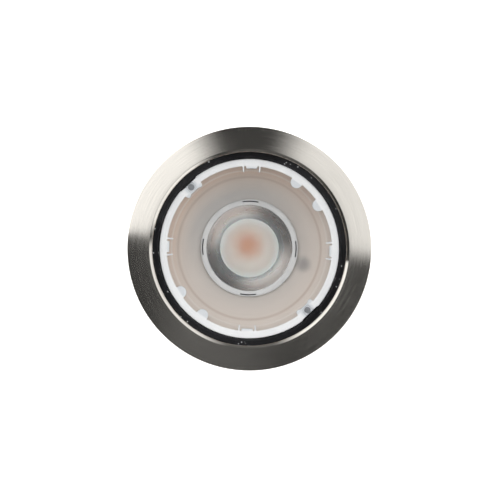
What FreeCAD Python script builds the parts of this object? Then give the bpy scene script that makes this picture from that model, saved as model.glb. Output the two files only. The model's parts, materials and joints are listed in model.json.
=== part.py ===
"""Recessed soffit downlight: a turned steel trim ring screwed on a finned lamp can.

Millimetres. The lamp looks down: +Z points up into the ceiling void, and the origin is the
centre of the face that lies against the soffit. Every size comes from the sheet below.
"""
import FreeCAD, Part
import math
import os
import re

import Sketcher

Vector = FreeCAD.Vector
document = FreeCAD.newDocument("soffit_downlight")
sheet = document.addObject("Spreadsheet::Sheet", "Sizes")

# Sizes that can be set by themselves: name, millimetres (or degrees, or a count), meaning.
DRIVING_SIZES = [
    # trim ring
    ("flange_radius", 75.0, "outer radius of the trim flange"),
    ("gasket_thickness", 2.0, "foam gasket between flange and soffit"),
    ("gasket_margin", 1.0, "gasket set in from the flange's outer edge"),
    ("rim_height", 1.2, "straight outer rim of the flange"),
    ("cone_drop", 3.0, "how far the flange's cone falls from rim to nose"),
    ("nose_width", 1.0, "flat nose between the cone and the chamfer"),
    ("chamfer_width", 1.6, "polished inner chamfer"),
    ("glass_lip", 2.4, "trim in front of the glass's edge"),
    ("flange_overlap", 9.0, "flange beyond the skirt that enters the ceiling"),
    ("skirt_wall", 3.7, "threaded skirt"),
    ("skirt_height", 13.0, "top of the skirt above the soffit's face"),
    # glass and its gasket
    ("glass_thickness", 5.0, "toughened glass disc"),
    ("glass_recess", 4.0, "front of the glass below the soffit's face"),
    ("glass_clearance", 0.5, "glass edge to the skirt's bore"),
    ("glass_gasket_width", 5.9, "flat silicone gasket"),
    ("glass_gasket_thickness", 1.6, "flat silicone gasket"),
    # lamp housing
    ("thread_clearance", 0.3, "housing spigot to the skirt's bore"),
    ("spigot_step", 2.0, "can inside the spigot's outside"),
    ("housing_wall", 3.0, "wall of the can"),
    ("spigot_height", 11.4, "threaded spigot at the front of the can"),
    ("spigot_slope", 2.0, "height of the cone from spigot to can"),
    ("base_level", 50.0, "inner face of the can's base above the soffit's face"),
    ("base_thickness", 6.0, "base that carries the fins"),
    # optic ring
    ("optic_clocking", 1.6, "turn of the optics about the axis, in degrees"),
    ("ring_play", 1.5, "white ring to the can's bore"),
    ("ring_face", 4.4, "width of the white ring's face"),
    ("ring_recess", 1.4, "ring behind the front of the can"),
    ("ring_thickness", 1.8, "face of the ring"),
    ("ring_height", 5.0, "whole height of the ring"),
    ("ring_wall", 1.4, "outer wall of the ring"),
    ("tab_count", 4, "snap tabs round the ring"),
    ("tab_width", 6.65, "snap tab"),
    ("tab_reach", 1.6, "snap tab inside the ring's bore"),
    ("prong_spacing", 9.5, "between the two prongs beside a tab"),
    ("prong_reach", 3.9, "prong inside the ring's bore"),
    ("prong_width", 0.8, "prong"),
    ("lug_angle", 11.2, "half the angle between a pair of round lugs, in degrees"),
    ("lug_radius", 3.7, "round lug"),
    ("lug_overhang", 0.7, "middle of a round lug inside the ring's bore"),
    ("recess_length", 12.6, "flat on the ring's edge beside a screw"),
    ("recess_depth", 0.7, "flat on the ring's edge beside a screw"),
    ("screw_lug_reach", 2.6, "screw lug inside the ring's bore"),
    ("screw_lug_width", 11.0, "screw lug"),
    ("ring_screw_inset", 1.4, "middle of a ring screw outside the ring's bore"),
    ("ring_screw_radius", 1.25, "shank"),
    ("ring_screw_head", 1.7, "head radius"),
    ("ring_screw_sink", 1.0, "head below the ring's face"),
    ("ring_screw_length", 7.0, "shank"),
    ("counterbore_gap", 0.15, "screw head to its counterbore"),
    ("ledge_height", 4.0, "ledges that carry the ring"),
    ("ledge_width", 7.4, "ledges that carry the ring"),
    ("screw_ledge_wall", 1.9, "ledge inside the middle of its screw"),
    ("plain_ledge_reach", 2.5, "plain ledge under the ring"),
    ("ledge_notch_gap", 0.4, "bowl to the ledges with screws"),
    # reflector bowl and what stands at its throat
    ("bowl_set_in", 0.1, "mouth of the bowl inside the ring's bore"),
    ("throat_gap", 0.3, "bowl's throat to the collar's lip"),
    ("bowl_wall", 1.0, "wall of the bowl"),
    ("bowl_curve", 43.0, "radius of the bowl's curve"),
    ("bowl_bands", 4, "straight bands that follow the bowl's curve"),
    ("bowl_rim_play", 0.5, "bowl's rim to the ring's outer wall"),
    ("collar_height", 14.0, "throat collar above the heat sink's face"),
    ("collar_radius", 31.2, "outside of the collar's lip"),
    ("collar_lip_width", 3.5, "lip between the bowl and the inner reflector"),
    ("collar_lip", 1.0, "thickness of the lip round the collar's bore"),
    ("lip_notch_width", 1.4, "small notch in the lip"),
    ("lip_notch_depth", 0.9, "small notch in the lip"),
    ("collar_seat_depth", 2.8, "collar's face to the bowl's seat"),
    ("collar_seat_width", 3.0, "seat of the bowl on the collar"),
    ("collar_lip_overhang", 0.9, "lip inside the collar's body"),
    ("slot_inset", 1.0, "middle of the four slots inside the lip's edge"),
    ("slot_width", 0.8, "collar slot"),
    ("slot_depth", 1.6, "collar slot"),
    ("slot_sweep", 19.4, "angle that a slot spans, in degrees"),
    ("slot_count", 4, "collar slots"),
    ("cone_wall", 0.8, "polished inner reflector"),
    ("cone_set_in", 0.1, "inner reflector inside the collar's lip"),
    ("dome_gap", 0.3, "inner reflector to the dome"),
    ("cone_play", 0.15, "inner reflector to the collar's body"),
    # light source
    ("dome_radius", 18.7, "base of the frosted dome"),
    ("dome_height", 7.4, "frosted dome"),
    ("dome_bands", 4, "straight bands that follow the dome's curve"),
    ("dome_foot_width", 1.7, "foot of the dome under the inner reflector"),
    ("dome_foot", 0.8, "thickness of the dome's foot"),
    ("holder_height", 3.2, "holder that clamps the board"),
    ("holder_margin", 0.2, "holder beyond the dome's foot"),
    ("holder_bore", 10.2, "window of the holder"),
    ("board_side", 26.0, "square board"),
    ("board_thickness", 1.6, "square board"),
    ("board_play", 0.2, "board to the holder's pocket"),
    ("pad_thickness", 0.3, "thermal pad"),
    ("emitter_radius", 9.0, "yellow emitter disc"),
    ("emitter_thickness", 0.6, "yellow emitter disc"),
    ("holder_screw_radius", 1.5, "shank"),
    ("holder_screw_head", 2.8, "head radius"),
    ("holder_screw_length", 8.0, "overall"),
    ("wire_radius", 0.55, "insulated lead"),
    ("wire_spacing", 3.0, "between the two leads"),
    ("wire_bend", 3.4, "bend of the leads"),
    ("wire_hole_radius", 2.4, "passage through the heat sink"),
    ("wire_circle", 17.0, "passage through the heat sink"),
    ("wire_start", 11.2, "soldered end on the board"),
    ("channel_start", 9.0, "channel for the leads in the holder"),
    ("channel_width", 5.0, "channel for the leads in the holder"),
    # fins
    ("fin_count", 24, "radial fins"),
    ("fin_thickness", 2.0, "fins"),
    ("fin_inset", 2.0, "outer end of the fins inside the can's outside"),
    ("fin_height", 24.0, "fins"),
    ("fin_bevel", 7.0, "cut corner of the fins"),
    ("cut_margin", 1.0, "cuts beyond the edges that they open"),
    ("hole_run_out", 0.5, "tapped hole beyond the end of its screw"),
    ("thread_gap", 0.05, "screw shank to the hole that it threads into"),
    ("shank_gap", 0.15, "screw shank to the hole that it passes"),
    # wiring chamber and cap
    ("chamber_side", 40.0, "inside of the square wiring chamber"),
    ("chamber_wall", 4.0, "wiring chamber"),
    ("chamber_depth", 25.0, "wiring chamber"),
    ("post_side", 9.0, "posts for the cap's screws in the chamber's corners"),
    ("block_length", 17.0, "two-pole terminal block"),
    ("block_depth", 14.0, "terminal block"),
    ("block_height", 13.0, "terminal block"),
    ("block_step", 2.5, "shoulder of the terminal block"),
    ("block_step_height", 8.0, "shoulder of the terminal block"),
    ("pole_spacing", 7.0, "between the block's poles"),
    ("pole_hole_radius", 2.0, "clamping screw holes"),
    ("pole_screw_length", 6.0, "clamping screws"),
    ("wire_entry_radius", 1.6, "wire holes"),
    ("wire_end", 1.0, "leads beyond the clamping screws"),
    ("wire_entry_height", 4.2, "wire holes above the chamber's floor"),
    ("block_screw_radius", 1.5, "screw that holds the block"),
    ("block_screw_head", 2.6, "head radius"),
    ("block_screw_grip", 4.5, "thread in the can's base"),
    ("cap_gasket_thickness", 1.0, "gasket under the cap"),
    ("cap_overhang", 1.5, "rear cap beyond the chamber's walls"),
    ("cap_thickness", 3.5, "rear cap"),
    ("cap_corner", 5.0, "cut corners of the rear cap"),
    ("cap_screw_radius", 1.5, "shank"),
    ("cap_screw_head", 2.8, "head radius"),
    ("cap_screw_head_height", 2.2, "head"),
    ("cap_screw_grip", 8.0, "thread in the posts"),
    # cable gland
    ("gland_thread_radius", 10.0, "thread through the cap"),
    ("gland_thread_length", 12.5, "thread from the washer into the chamber"),
    ("gland_hole_gap", 0.1, "cap hole, washer and nut to the thread"),
    ("gland_washer_width", 3.3, "sealing washer"),
    ("gland_washer_thickness", 1.5, "sealing washer"),
    ("gland_hex_shoulder", 2.0, "flats of the gland's hexagons beyond the thread"),
    ("gland_hex_height", 5.5, "hexagon of the gland's body"),
    ("gland_hex_gap", 0.4, "gland nut to the body's hexagon"),
    ("gland_seal_shoulder", 1.0, "seat of the seal in the gland's body"),
    ("gland_neck_step", 0.6, "neck under the gland nut inside the thread"),
    ("gland_neck_wall", 1.8, "neck round the seal"),
    ("gland_neck_height", 8.0, "neck under the gland nut"),
    ("gland_seal_height", 9.0, "rubber seal"),
    ("gland_seal_gap", 0.1, "seal to the neck"),
    ("cable_radius", 4.0, "bore of the rubber seal"),
    ("gland_nut_gap", 0.15, "gland nut to the neck"),
    ("gland_nut_height", 7.0, "hexagon of the gland nut"),
    ("gland_taper_height", 5.0, "tapered end of the gland nut"),
    ("gland_taper_set_in", 0.8, "tapered end inside the gland nut's flats"),
    ("gland_mouth_wall", 2.6, "tapered end round the gland nut's opening"),
    ("gland_mouth_lip", 1.5, "gland nut over the seal"),
    ("locknut_height", 4.0, "nut inside the cap"),
    ("locknut_wall", 3.0, "nut inside the cap round the thread"),
    # spring clips
    ("clip_count", 3, "spring clips round the can"),
    ("clip_pad_rise", 0.4, "flat pad beyond the can's outside"),
    ("clip_pad_margin", 1.0, "flat pad round the bracket"),
    ("bracket_thickness", 1.2, "bent sheet of the bracket"),
    ("bracket_play", 0.3, "bracket's ears to the arm's cheeks"),
    ("bracket_fall", 16.0, "bracket below the pivot"),
    ("bracket_rise", 7.0, "bracket above the pivot"),
    ("ear_radius", 3.0, "rounded end of the ears"),
    ("ear_drop", 8.0, "root of the ears below the pivot"),
    ("bracket_corner", 2.0, "cut corners of the bracket"),
    ("pivot_level", 40.0, "clip pivot above the soffit's face"),
    ("pin_radius", 1.5, "clip pin"),
    ("pin_fit", 0.05, "pin in the bracket's ears"),
    ("pin_running_gap", 0.08, "pin in the arm's cheeks"),
    ("pin_head_radius", 2.4, "head of the pin"),
    ("pin_head_height", 1.2, "head of the pin"),
    ("pin_rivet_radius", 1.9, "riveted end of the pin"),
    ("pin_rivet_height", 0.6, "riveted end of the pin"),
    ("clip_screw_rise", 4.5, "bracket screws above the bracket's lower end"),
    ("clip_screw_spacing", 9.0, "between the bracket's two screws"),
    ("clip_screw_radius", 1.5, "shank"),
    ("clip_screw_head", 2.7, "head radius"),
    ("clip_screw_head_height", 1.9, "head"),
    ("clip_screw_grip", 3.0, "thread in the can"),
    ("spring_wire_radius", 0.6, "wire of the clip springs"),
    ("spring_coil_radius", 2.6, "centre of the wire to the coil's axis"),
    ("spring_pitch", 2.2, "advance of the coil in one turn"),
    ("spring_turns", 3, "whole turns of the coil"),
    ("spring_gap", 0.2, "wire to the sheet beside it"),
    ("spring_rear_leg", 6.0, "leg on the bracket"),
    ("spring_front_leg", 6.2, "leg on the arm up to the hook"),
    ("spring_hook_bend", 1.2, "bends of the hook"),
    ("spring_hook_tip", 2.0, "end of the hook"),
    ("arm_thickness", 1.2, "spring steel arm"),
    ("arm_tip_rise", 4.5, "soffit's face to the arm's tip, along the arm"),
    ("arm_root", 4.4, "pivot to the blade"),
    ("arm_root_width", 14.0, "over the arm's cheeks"),
    ("arm_tip_width", 10.0, "blade inside the sleeve"),
    ("arm_shoulder", 9.0, "pivot to the taper"),
    ("arm_taper", 5.0, "length of the taper"),
    ("cheek_gap", 0.3, "cheek to the bracket's plate"),
    ("cheek_width", 4.0, "cheek below the pin"),
    ("cheek_length", 8.0, "cheek below the pin"),
    ("hook_hole_radius", 1.1, "hole for the spring's hook"),
    ("sleeve_start", 21.0, "pivot to the rubber sleeve"),
    ("sleeve_thickness", 4.4, "over the sleeve"),
    ("sleeve_wall", 1.2, "sleeve beside and beyond the blade"),
    ("sleeve_fit", 0.05, "blade to the sleeve's pocket"),
    ("sleeve_round", 1.4, "rounded edges of the sleeve"),
    ("sleeve_rest_gap", 0.35, "sleeve to the trim's skirt at rest"),
]

# Levels and radii that follow from the sizes above.
DERIVED_SIZES = [
    ("nose_level", "-(gasket_thickness + rim_height + cone_drop)"),
    ("skirt_radius", "flange_radius - flange_overlap"),
    ("skirt_bore", "skirt_radius - skirt_wall"),
    ("glass_radius", "skirt_bore - glass_clearance"),
    ("opening_radius", "glass_radius - glass_lip"),
    ("chamfer_radius", "opening_radius + chamfer_width"),
    ("nose_radius", "chamfer_radius + nose_width"),
    ("glass_gasket_bore", "glass_radius - glass_gasket_width"),
    ("glass_front_level", "-glass_recess"),
    ("glass_back_level", "glass_thickness - glass_recess"),
    ("housing_front_level", "glass_back_level + glass_gasket_thickness"),
    ("spigot_radius", "skirt_bore - thread_clearance"),
    ("housing_radius", "spigot_radius - spigot_step"),
    ("housing_bore", "housing_radius - housing_wall"),
    ("ring_radius", "housing_bore - ring_play"),
    ("ring_bore", "ring_radius - ring_face"),
    ("lug_circle", "ring_bore - lug_overhang"),
    ("ring_screw_circle", "ring_bore + ring_screw_inset"),
    ("screw_ledge_bore", "ring_screw_circle - screw_ledge_wall"),
    ("plain_ledge_bore", "ring_radius - plain_ledge_reach"),
    ("bowl_mouth", "ring_bore - bowl_set_in"),
    ("bowl_rim", "ring_radius - ring_wall - bowl_rim_play"),
    ("bowl_throat", "collar_radius + throat_gap"),
    ("collar_body_radius", "bowl_throat + collar_seat_width"),
    ("collar_bore", "collar_radius - collar_lip_width"),
    ("collar_core_radius", "collar_bore + collar_lip_overhang"),
    ("slot_circle", "collar_radius - slot_inset"),
    ("cone_mouth", "collar_bore - cone_set_in"),
    ("cone_throat", "dome_radius + dome_gap"),
    ("dome_foot_radius", "dome_radius + dome_foot_width"),
    ("holder_flats", "2 * (dome_foot_radius + holder_margin)"),
    ("holder_screw_circle", "board_side / 2 + holder_screw_head"),
    ("spigot_level", "housing_front_level + spigot_height"),
    ("ring_front_level", "housing_front_level + ring_recess"),
    ("ring_back_level", "ring_front_level + ring_thickness"),
    ("ring_seat_level", "ring_front_level + ring_height"),
    ("base_back_level", "base_level + base_thickness"),
    ("collar_front_level", "base_level - collar_height"),
    ("collar_seat_level", "collar_front_level + collar_seat_depth"),
    ("cone_rim_level", "collar_front_level + collar_lip"),
    ("holder_front_level", "base_level - holder_height"),
    ("board_back_level", "base_level - pad_thickness"),
    ("board_front_level", "board_back_level - board_thickness"),
    ("wire_level", "board_front_level - wire_radius"),
    ("fin_top_level", "base_back_level + fin_height"),
    ("chamber_top_level", "base_back_level + chamber_depth"),
    ("cap_front_level", "chamber_top_level + cap_gasket_thickness"),
    ("cap_back_level", "cap_front_level + cap_thickness"),
    ("gland_flats", "2 * (gland_thread_radius + gland_hex_shoulder)"),
    ("gland_washer_radius", "gland_thread_radius + gland_hole_gap + gland_washer_width"),
    ("gland_neck_radius", "gland_thread_radius - gland_neck_step"),
    ("gland_seal_radius", "gland_neck_radius - gland_neck_wall - gland_seal_gap"),
    ("gland_bore", "gland_seal_radius - gland_seal_shoulder"),
    ("gland_mouth", "gland_seal_radius - gland_mouth_lip"),
    ("gland_taper_root", "gland_flats / 2 - gland_taper_set_in"),
    ("gland_taper_end", "gland_mouth + gland_mouth_wall"),
    ("locknut_flats", "2 * (gland_thread_radius + locknut_wall)"),
    ("gland_seat_level", "cap_back_level + gland_washer_thickness"),
    ("gland_neck_level", "gland_seat_level + gland_hex_height"),
    ("gland_nut_level", "gland_neck_level + gland_hex_gap"),
    ("gland_seal_level", "gland_neck_level + gland_seal_height"),
    ("wire_entry_level", "base_back_level + wire_entry_height"),
    ("chamber_half", "chamber_side / 2"),
    ("chamber_outside", "chamber_half + chamber_wall"),
    ("fin_start", "chamber_half + chamber_wall / 2"),
    ("fin_radius", "housing_radius - fin_inset"),
    ("post_centre", "chamber_outside - post_side / 2"),
    ("clip_pad_face", "housing_radius + clip_pad_rise"),
    ("bracket_face", "clip_pad_face + bracket_thickness"),
    ("bracket_width", "arm_root_width + 2 * (bracket_play + bracket_thickness)"),
    ("bracket_bottom", "pivot_level - bracket_fall"),
    ("bracket_top", "pivot_level + bracket_rise"),
    ("clip_screw_level", "bracket_bottom + clip_screw_rise"),
    ("clip_pad_width", "bracket_width + 2 * clip_pad_margin"),
    ("clip_pad_bottom", "bracket_bottom - clip_pad_margin"),
    ("clip_pad_height", "bracket_top + clip_pad_margin - clip_pad_bottom"),
    ("pivot_radius", "bracket_face + spring_gap + spring_wire_radius + spring_coil_radius"),
    ("cheek_radius", "(pivot_radius - bracket_face - cheek_gap) * cos(22.5)"),
    ("arm_length", "pivot_level - arm_tip_rise"),
    ("sleeve_width", "arm_tip_width + 2 * sleeve_wall"),
    ("skirt_lead", "skirt_radius - pivot_radius"),
    ("skirt_fall", "pivot_level - skirt_height"),
    ("rest_offset", "sleeve_thickness / 2 + sleeve_rest_gap"),
    ("rest_angle", "(atan(skirt_lead / skirt_fall)"
     " + asin(rest_offset / sqrt(skirt_lead ^ 2 + skirt_fall ^ 2))) / 1 deg"),
    ("hook_distance", "spring_front_leg + spring_hook_bend"),
    ("spring_slope", "spring_pitch / (2 * pi * spring_coil_radius)"),
    ("hook_side", "spring_pitch * (spring_turns / 2 + rest_angle / 360)"
     " + spring_slope * hook_distance"),
    ("dome_tip_level", "holder_front_level - dome_height"),
    ("dome_rise", "dome_height - dome_foot"),
]


def fill_sheet():
    """Write every size on a row of its own: name, value, meaning."""
    for row, (name, size, meaning) in enumerate(DRIVING_SIZES, 1):
        sheet.set(f"A{row}", name)
        sheet.set(f"B{row}", str(size))
        sheet.set(f"C{row}", meaning)
        sheet.setAlias(f"B{row}", name)
    for row, (name, formula) in enumerate(DERIVED_SIZES, len(DRIVING_SIZES) + 1):
        sheet.set(f"A{row}", name)
        sheet.set(f"B{row}", "=" + formula)
        sheet.setAlias(f"B{row}", name)
    document.recompute()


fill_sheet()
SIZE_NAMES = {row[0] for row in DRIVING_SIZES + DERIVED_SIZES}
parts = []


def value(formula):
    """The number that a formula of sizes gives now."""
    result = sheet.evalExpression(formula)
    return float(getattr(result, "Value", result))


def bind(formula):
    """The same formula as an object outside the sheet has to write it."""
    def with_sheet(match):
        word = match.group(0)
        return "Sizes." + word if word in SIZE_NAMES else word
    return re.sub(r"[A-Za-z_]+", with_sheet, formula)


def origin_part(body, role):
    """A plane or axis of the body's own origin."""
    for feature in body.Origin.OriginFeatures:
        if feature.Role == role:
            return feature
    raise ValueError(role)


def new_body(name, turn=None):
    """Start a sub-part; turn is its angle about the lamp's axis."""
    body = document.addObject("PartDesign::Body", name)
    body.Label = name
    body.AllowCompound = True
    if turn is not None:
        body.setExpression("Placement", f"placement(vector(0; 0; 0); rotation({bind(turn)}; 0; 0))")
    parts.append(body)
    return body


def new_sketch(body, role, offset="0", turn="0", shift="0"):
    """A sketch on an origin plane: offset along the plane's normal, shifted along its first
    axis, or turned about the lamp's axis."""
    turned = f"{bind(turn)}; 0; 0" if role == "XY_Plane" else f"0; {bind(turn)}; 0"
    move = f"placement(vector({bind(shift)}; 0; {bind(offset)}); rotation({turned}))"
    sketch = body.newObject("Sketcher::SketchObject", "outline")
    sketch.AttachmentSupport = [(origin_part(body, role), "")]
    sketch.MapMode = "FlatFace"
    sketch.setExpression("AttachmentOffset", move)
    return sketch


def fix_point(sketch, edge, end, across, up):
    """Tie one point of an edge to two formulas, measured from the sketch's origin."""
    for kind, axis, formula in (("DistanceX", -2, across), ("DistanceY", -1, up)):
        if formula == "0":
            sketch.addConstraint(Sketcher.Constraint("PointOnObject", edge, end, axis))
            continue
        name = f"size_{sketch.ConstraintCount}"
        rule = Sketcher.Constraint(kind, -1, 1, edge, end, value(formula))
        sketch.renameConstraint(sketch.addConstraint(rule), name)
        sketch.setExpression(f"Constraints.{name}", bind(formula))


def fix_radius(sketch, edge, formula):
    """Tie the radius of an arc or circle to a formula."""
    name = f"size_{sketch.ConstraintCount}"
    rule = Sketcher.Constraint("Radius", edge, value(formula))
    sketch.renameConstraint(sketch.addConstraint(rule), name)
    sketch.setExpression(f"Constraints.{name}", bind(formula))


def arc_between(start, end, radius, leftward):
    """The short arc of that radius; leftward arcs run anticlockwise from start to end."""
    chord = end - start
    reach = math.sqrt(max(radius ** 2 - (chord.Length / 2) ** 2, 0.0))
    side = Vector(-chord.y, chord.x, 0).normalize() * (reach if leftward else -reach)
    centre = (start + end) / 2 + side
    first, last = (start, end) if leftward else (end, start)
    angles = [math.atan2(p.y - centre.y, p.x - centre.x) for p in (first, last)]
    if angles[1] < angles[0]:
        angles[1] += 2 * math.pi
    return Part.ArcOfCircle(Part.Circle(centre, Vector(0, 0, 1), radius), *angles)


def draw_loop(sketch, corners):
    """Close a loop through the corners. A corner is (across, up), and the edge that arrives
    there is straight; with (across, up, radius, leftward) it is an arc."""
    points = [Vector(value(corner[0]), value(corner[1]), 0) for corner in corners]
    first = sketch.GeometryCount
    ends = []
    for n, corner in enumerate(corners):
        if len(corner) == 2:
            sketch.addGeometry(Part.LineSegment(points[n - 1], points[n]))
            ends.append((1, 2))
        else:
            arc = arc_between(points[n - 1], points[n], value(corner[2]), corner[3])
            sketch.addGeometry(arc)
            ends.append((1, 2) if corner[3] else (2, 1))
    for n in range(len(corners)):
        after = (n + 1) % len(corners)
        link = (first + n, ends[n][1], first + after, ends[after][0])
        sketch.addConstraint(Sketcher.Constraint("Coincident", *link))
    for n, corner in enumerate(corners):
        fix_point(sketch, first + n, ends[n][1], corner[0], corner[1])
        if len(corner) > 2:
            fix_radius(sketch, first + n, corner[2])


def draw_rectangle(sketch, left, bottom, right, top):
    """An upright rectangle between two corners."""
    draw_loop(sketch, [(left, bottom), (right, bottom), (right, top), (left, top)])


def draw_circle(sketch, across, up, radius):
    """A circle about a point."""
    centre = Vector(value(across), value(up), 0)
    edge = sketch.addGeometry(Part.Circle(centre, Vector(0, 0, 1), value(radius)))
    fix_point(sketch, edge, 3, across, up)
    fix_radius(sketch, edge, radius)


def draw_square(sketch, half):
    """A square about the sketch's origin, given by half its side."""
    draw_rectangle(sketch, f"-({half})", f"-({half})", half, half)


def draw_cut_square(sketch, half, corner):
    """A square about the sketch's origin with its corners cut off."""
    near = f"({half}) - ({corner})"
    draw_loop(sketch, [
        (half, f"-({near})"), (half, near), (near, half), (f"-({near})", half),
        (f"-({half})", near), (f"-({half})", f"-({near})"),
        (f"-({near})", f"-({half})"), (near, f"-({half})"),
    ])


def draw_hexagon(sketch, flats):
    """A hexagon about the sketch's origin, given across its flats."""
    corner, middle, side = f"{flats} / sqrt(3)", f"{flats} / sqrt(12)", f"{flats} / 2"
    right_half = [(middle, f"-{side}"), (corner, "0"), (middle, side)]
    left_half = [(f"-{middle}", side), (f"-{corner}", "0"), (f"-{middle}", f"-{side}")]
    draw_loop(sketch, right_half + left_half)


def bands_along(start, end, radius, leftward, bands):
    """Corners on the arc of that radius from start to end, as formulas; the arc is the
    short one and runs anticlockwise if leftward."""
    across, up = f"(({end[0]}) - ({start[0]}))", f"(({end[1]}) - ({start[1]}))"
    chord = f"sqrt({across} ^ 2 + {up} ^ 2)"
    half_angle = f"asin({chord} / (2 * ({radius})))"
    sign = "1" if leftward else "-1"
    corners = []
    for n in range(1, bands + 1):
        part = f"({n} / {bands})"
        run = f"(2 * ({radius}) * sin({half_angle} * {part}) / {chord})"
        swing = f"({sign} * {half_angle} * ({part} - 1))"
        corners.append((
            f"{start[0]} + {run} * ({across} * cos({swing}) - {up} * sin({swing}))",
            f"{start[1]} + {run} * ({across} * sin({swing}) + {up} * cos({swing}))",
        ))
    corners[-1] = end
    return corners


def settle(body, before, sign, name):
    """Recompute and make sure that the feature added or removed material."""
    document.recompute()
    change = body.Shape.Volume - before
    if change * sign <= 0:
        raise RuntimeError(f"{body.Label}: {name} changes the volume by {change:.3f}")


def make_feature(body, kind, sketch, sign, settings, formulas):
    """Add one feature made from a sketch and check what it did."""
    before = body.Shape.Volume if body.Tip else 0.0
    feature = body.newObject(f"PartDesign::{kind}", kind.lower())
    feature.Profile = sketch
    for name, setting in settings.items():
        setattr(feature, name, setting)
    for name, formula in formulas.items():
        feature.setExpression(name, bind(formula))
    settle(body, before, sign, kind)
    return feature


def pad(body, sketch, length, **settings):
    """Raise a sketch along its normal."""
    return make_feature(body, "Pad", sketch, 1, settings, {"Length": length})


def pocket(body, sketch, length, **settings):
    """Cut a sketch into the body, against its normal unless Reversed."""
    return make_feature(body, "Pocket", sketch, -1, settings, {"Length": length})


def turned(body, kind, sign, corners, shift):
    """Turn a half section about the lamp's axis, or about an axis parallel to it."""
    sketch = new_sketch(body, "XZ_Plane", shift=shift)
    draw_loop(sketch, corners)
    settings = {"ReferenceAxis": (sketch, ["V_Axis"]), "Angle": 360}
    return make_feature(body, kind, sketch, sign, settings, {})


def revolve(body, corners, shift="0"):
    """Add a turned form."""
    return turned(body, "Revolution", 1, corners, shift)


def groove(body, corners, shift="0"):
    """Cut a turned form."""
    return turned(body, "Groove", -1, corners, shift)


def repeat_round(body, features, copies):
    """Copy features evenly round the lamp's axis."""
    before = body.Shape.Volume
    cuts = features[0].TypeId in ("PartDesign::Pocket", "PartDesign::Groove")
    pattern = body.newObject("PartDesign::PolarPattern", "copies")
    pattern.Originals = features
    pattern.Axis = (origin_part(body, "Z_Axis"), [""])
    pattern.Angle = 360
    pattern.setExpression("Occurrences", bind(copies))
    body.Tip = pattern
    settle(body, before, -1 if cuts else 1, "pattern")
    return pattern


def round_edges(body, radius, chosen):
    """Round the edges for which chosen(edge) is true."""
    base = body.Tip
    shape = base.Shape
    names = [f"Edge{n}" for n, edge in enumerate(shape.Edges, 1) if chosen(edge)]
    fillet = body.newObject("PartDesign::Fillet", "rounding")
    fillet.Base = (base, names)
    fillet.setExpression("Radius", bind(radius))
    body.Tip = fillet
    settle(body, shape.Volume, -1, "rounding")
    return fillet


def ring(name, bore, radius, bottom, top):
    """A plain flat ring."""
    corners = [(bore, bottom), (radius, bottom), (radius, top), (bore, top)]
    body = new_body(name)
    revolve(body, corners)
    return body


# ---------------------------------------------------------------- trim, glass and gaskets

def make_trim_bezel():
    """One turning: flange with a convex cone, polished inner chamfer, glass seat, skirt."""
    body = new_body("trim_bezel")
    chamfer_level = "nose_level + chamfer_radius - opening_radius"
    revolve(body, [
        ("opening_radius", "glass_front_level"),
        ("opening_radius", chamfer_level),
        ("chamfer_radius", "nose_level"),
        ("nose_radius", "nose_level"),
        ("flange_radius", "nose_level + cone_drop"),
        ("flange_radius", "-gasket_thickness"),
        ("skirt_radius", "-gasket_thickness"),
        ("skirt_radius", "skirt_height"),
        ("skirt_bore", "skirt_height"),
        ("skirt_bore", "glass_front_level"),
    ])


def make_front_seals():
    """Foam gasket on the soffit side, the glass, and the flat ring behind the glass."""
    ring("soffit_gasket", "skirt_radius + gasket_margin", "flange_radius - gasket_margin",
         "-gasket_thickness", "0")
    body = new_body("front_glass")
    revolve(body, [
        ("0", "glass_front_level"),
        ("glass_radius", "glass_front_level"),
        ("glass_radius", "glass_back_level"),
        ("0", "glass_back_level"),
    ])
    ring("glass_gasket", "glass_gasket_bore", "glass_radius",
         "glass_back_level", "housing_front_level")


# ---------------------------------------------------------------- lamp housing

def make_lamp_housing():
    """One casting: threaded can with ledges and clip pads, base, fins and wiring chamber."""
    body = new_body("lamp_housing")
    revolve(body, [
        ("housing_bore", "housing_front_level"),
        ("spigot_radius", "housing_front_level"),
        ("spigot_radius", "spigot_level"),
        ("housing_radius", "spigot_level + spigot_slope"),
        ("housing_radius", "base_back_level"),
        ("0", "base_back_level"),
        ("0", "base_level"),
        ("housing_bore", "base_level"),
    ])
    middle_of_wall = "(housing_bore + housing_radius) / 2"
    add_ring_ledges(body, middle_of_wall)
    add_clip_pads(body, middle_of_wall)
    add_fins(body)
    add_wiring_chamber(body)
    add_base_holes(body)


def add_ring_ledges(body, middle_of_wall):
    """Two ledges with tapped holes and two plain ones carry the optic ring."""
    for turn, bore in (("45", "screw_ledge_bore"), ("135", "plain_ledge_bore")):
        sketch = new_sketch(body, "XY_Plane", "ring_seat_level", f"{turn} + optic_clocking")
        draw_rectangle(sketch, bore, "-ledge_width / 2", middle_of_wall, "ledge_width / 2")
        ledge = pad(body, sketch, "ledge_height")
        repeat_round(body, [ledge], "2")
    sketch = new_sketch(body, "XY_Plane", "ring_seat_level", "45 + optic_clocking")
    draw_circle(sketch, "ring_screw_circle", "0", "ring_screw_radius + thread_gap")
    hole = pocket(body, sketch, "ledge_height", Reversed=True)
    repeat_round(body, [hole], "2")


def add_clip_pads(body, middle_of_wall):
    """A flat pad with two tapped holes under each spring clip."""
    sketch = new_sketch(body, "XY_Plane", "clip_pad_bottom")
    draw_rectangle(sketch, middle_of_wall, "-clip_pad_width / 2",
                   "clip_pad_face", "clip_pad_width / 2")
    flat = pad(body, sketch, "clip_pad_height")
    repeat_round(body, [flat], "clip_count")
    sketch = new_sketch(body, "YZ_Plane", "clip_pad_face")
    for side in ("-", ""):
        draw_circle(sketch, f"{side}clip_screw_spacing / 2", "clip_screw_level",
                    "clip_screw_radius + thread_gap")
    hole = pocket(body, sketch, "clip_pad_face - housing_bore + cut_margin")
    repeat_round(body, [hole], "clip_count")


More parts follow.
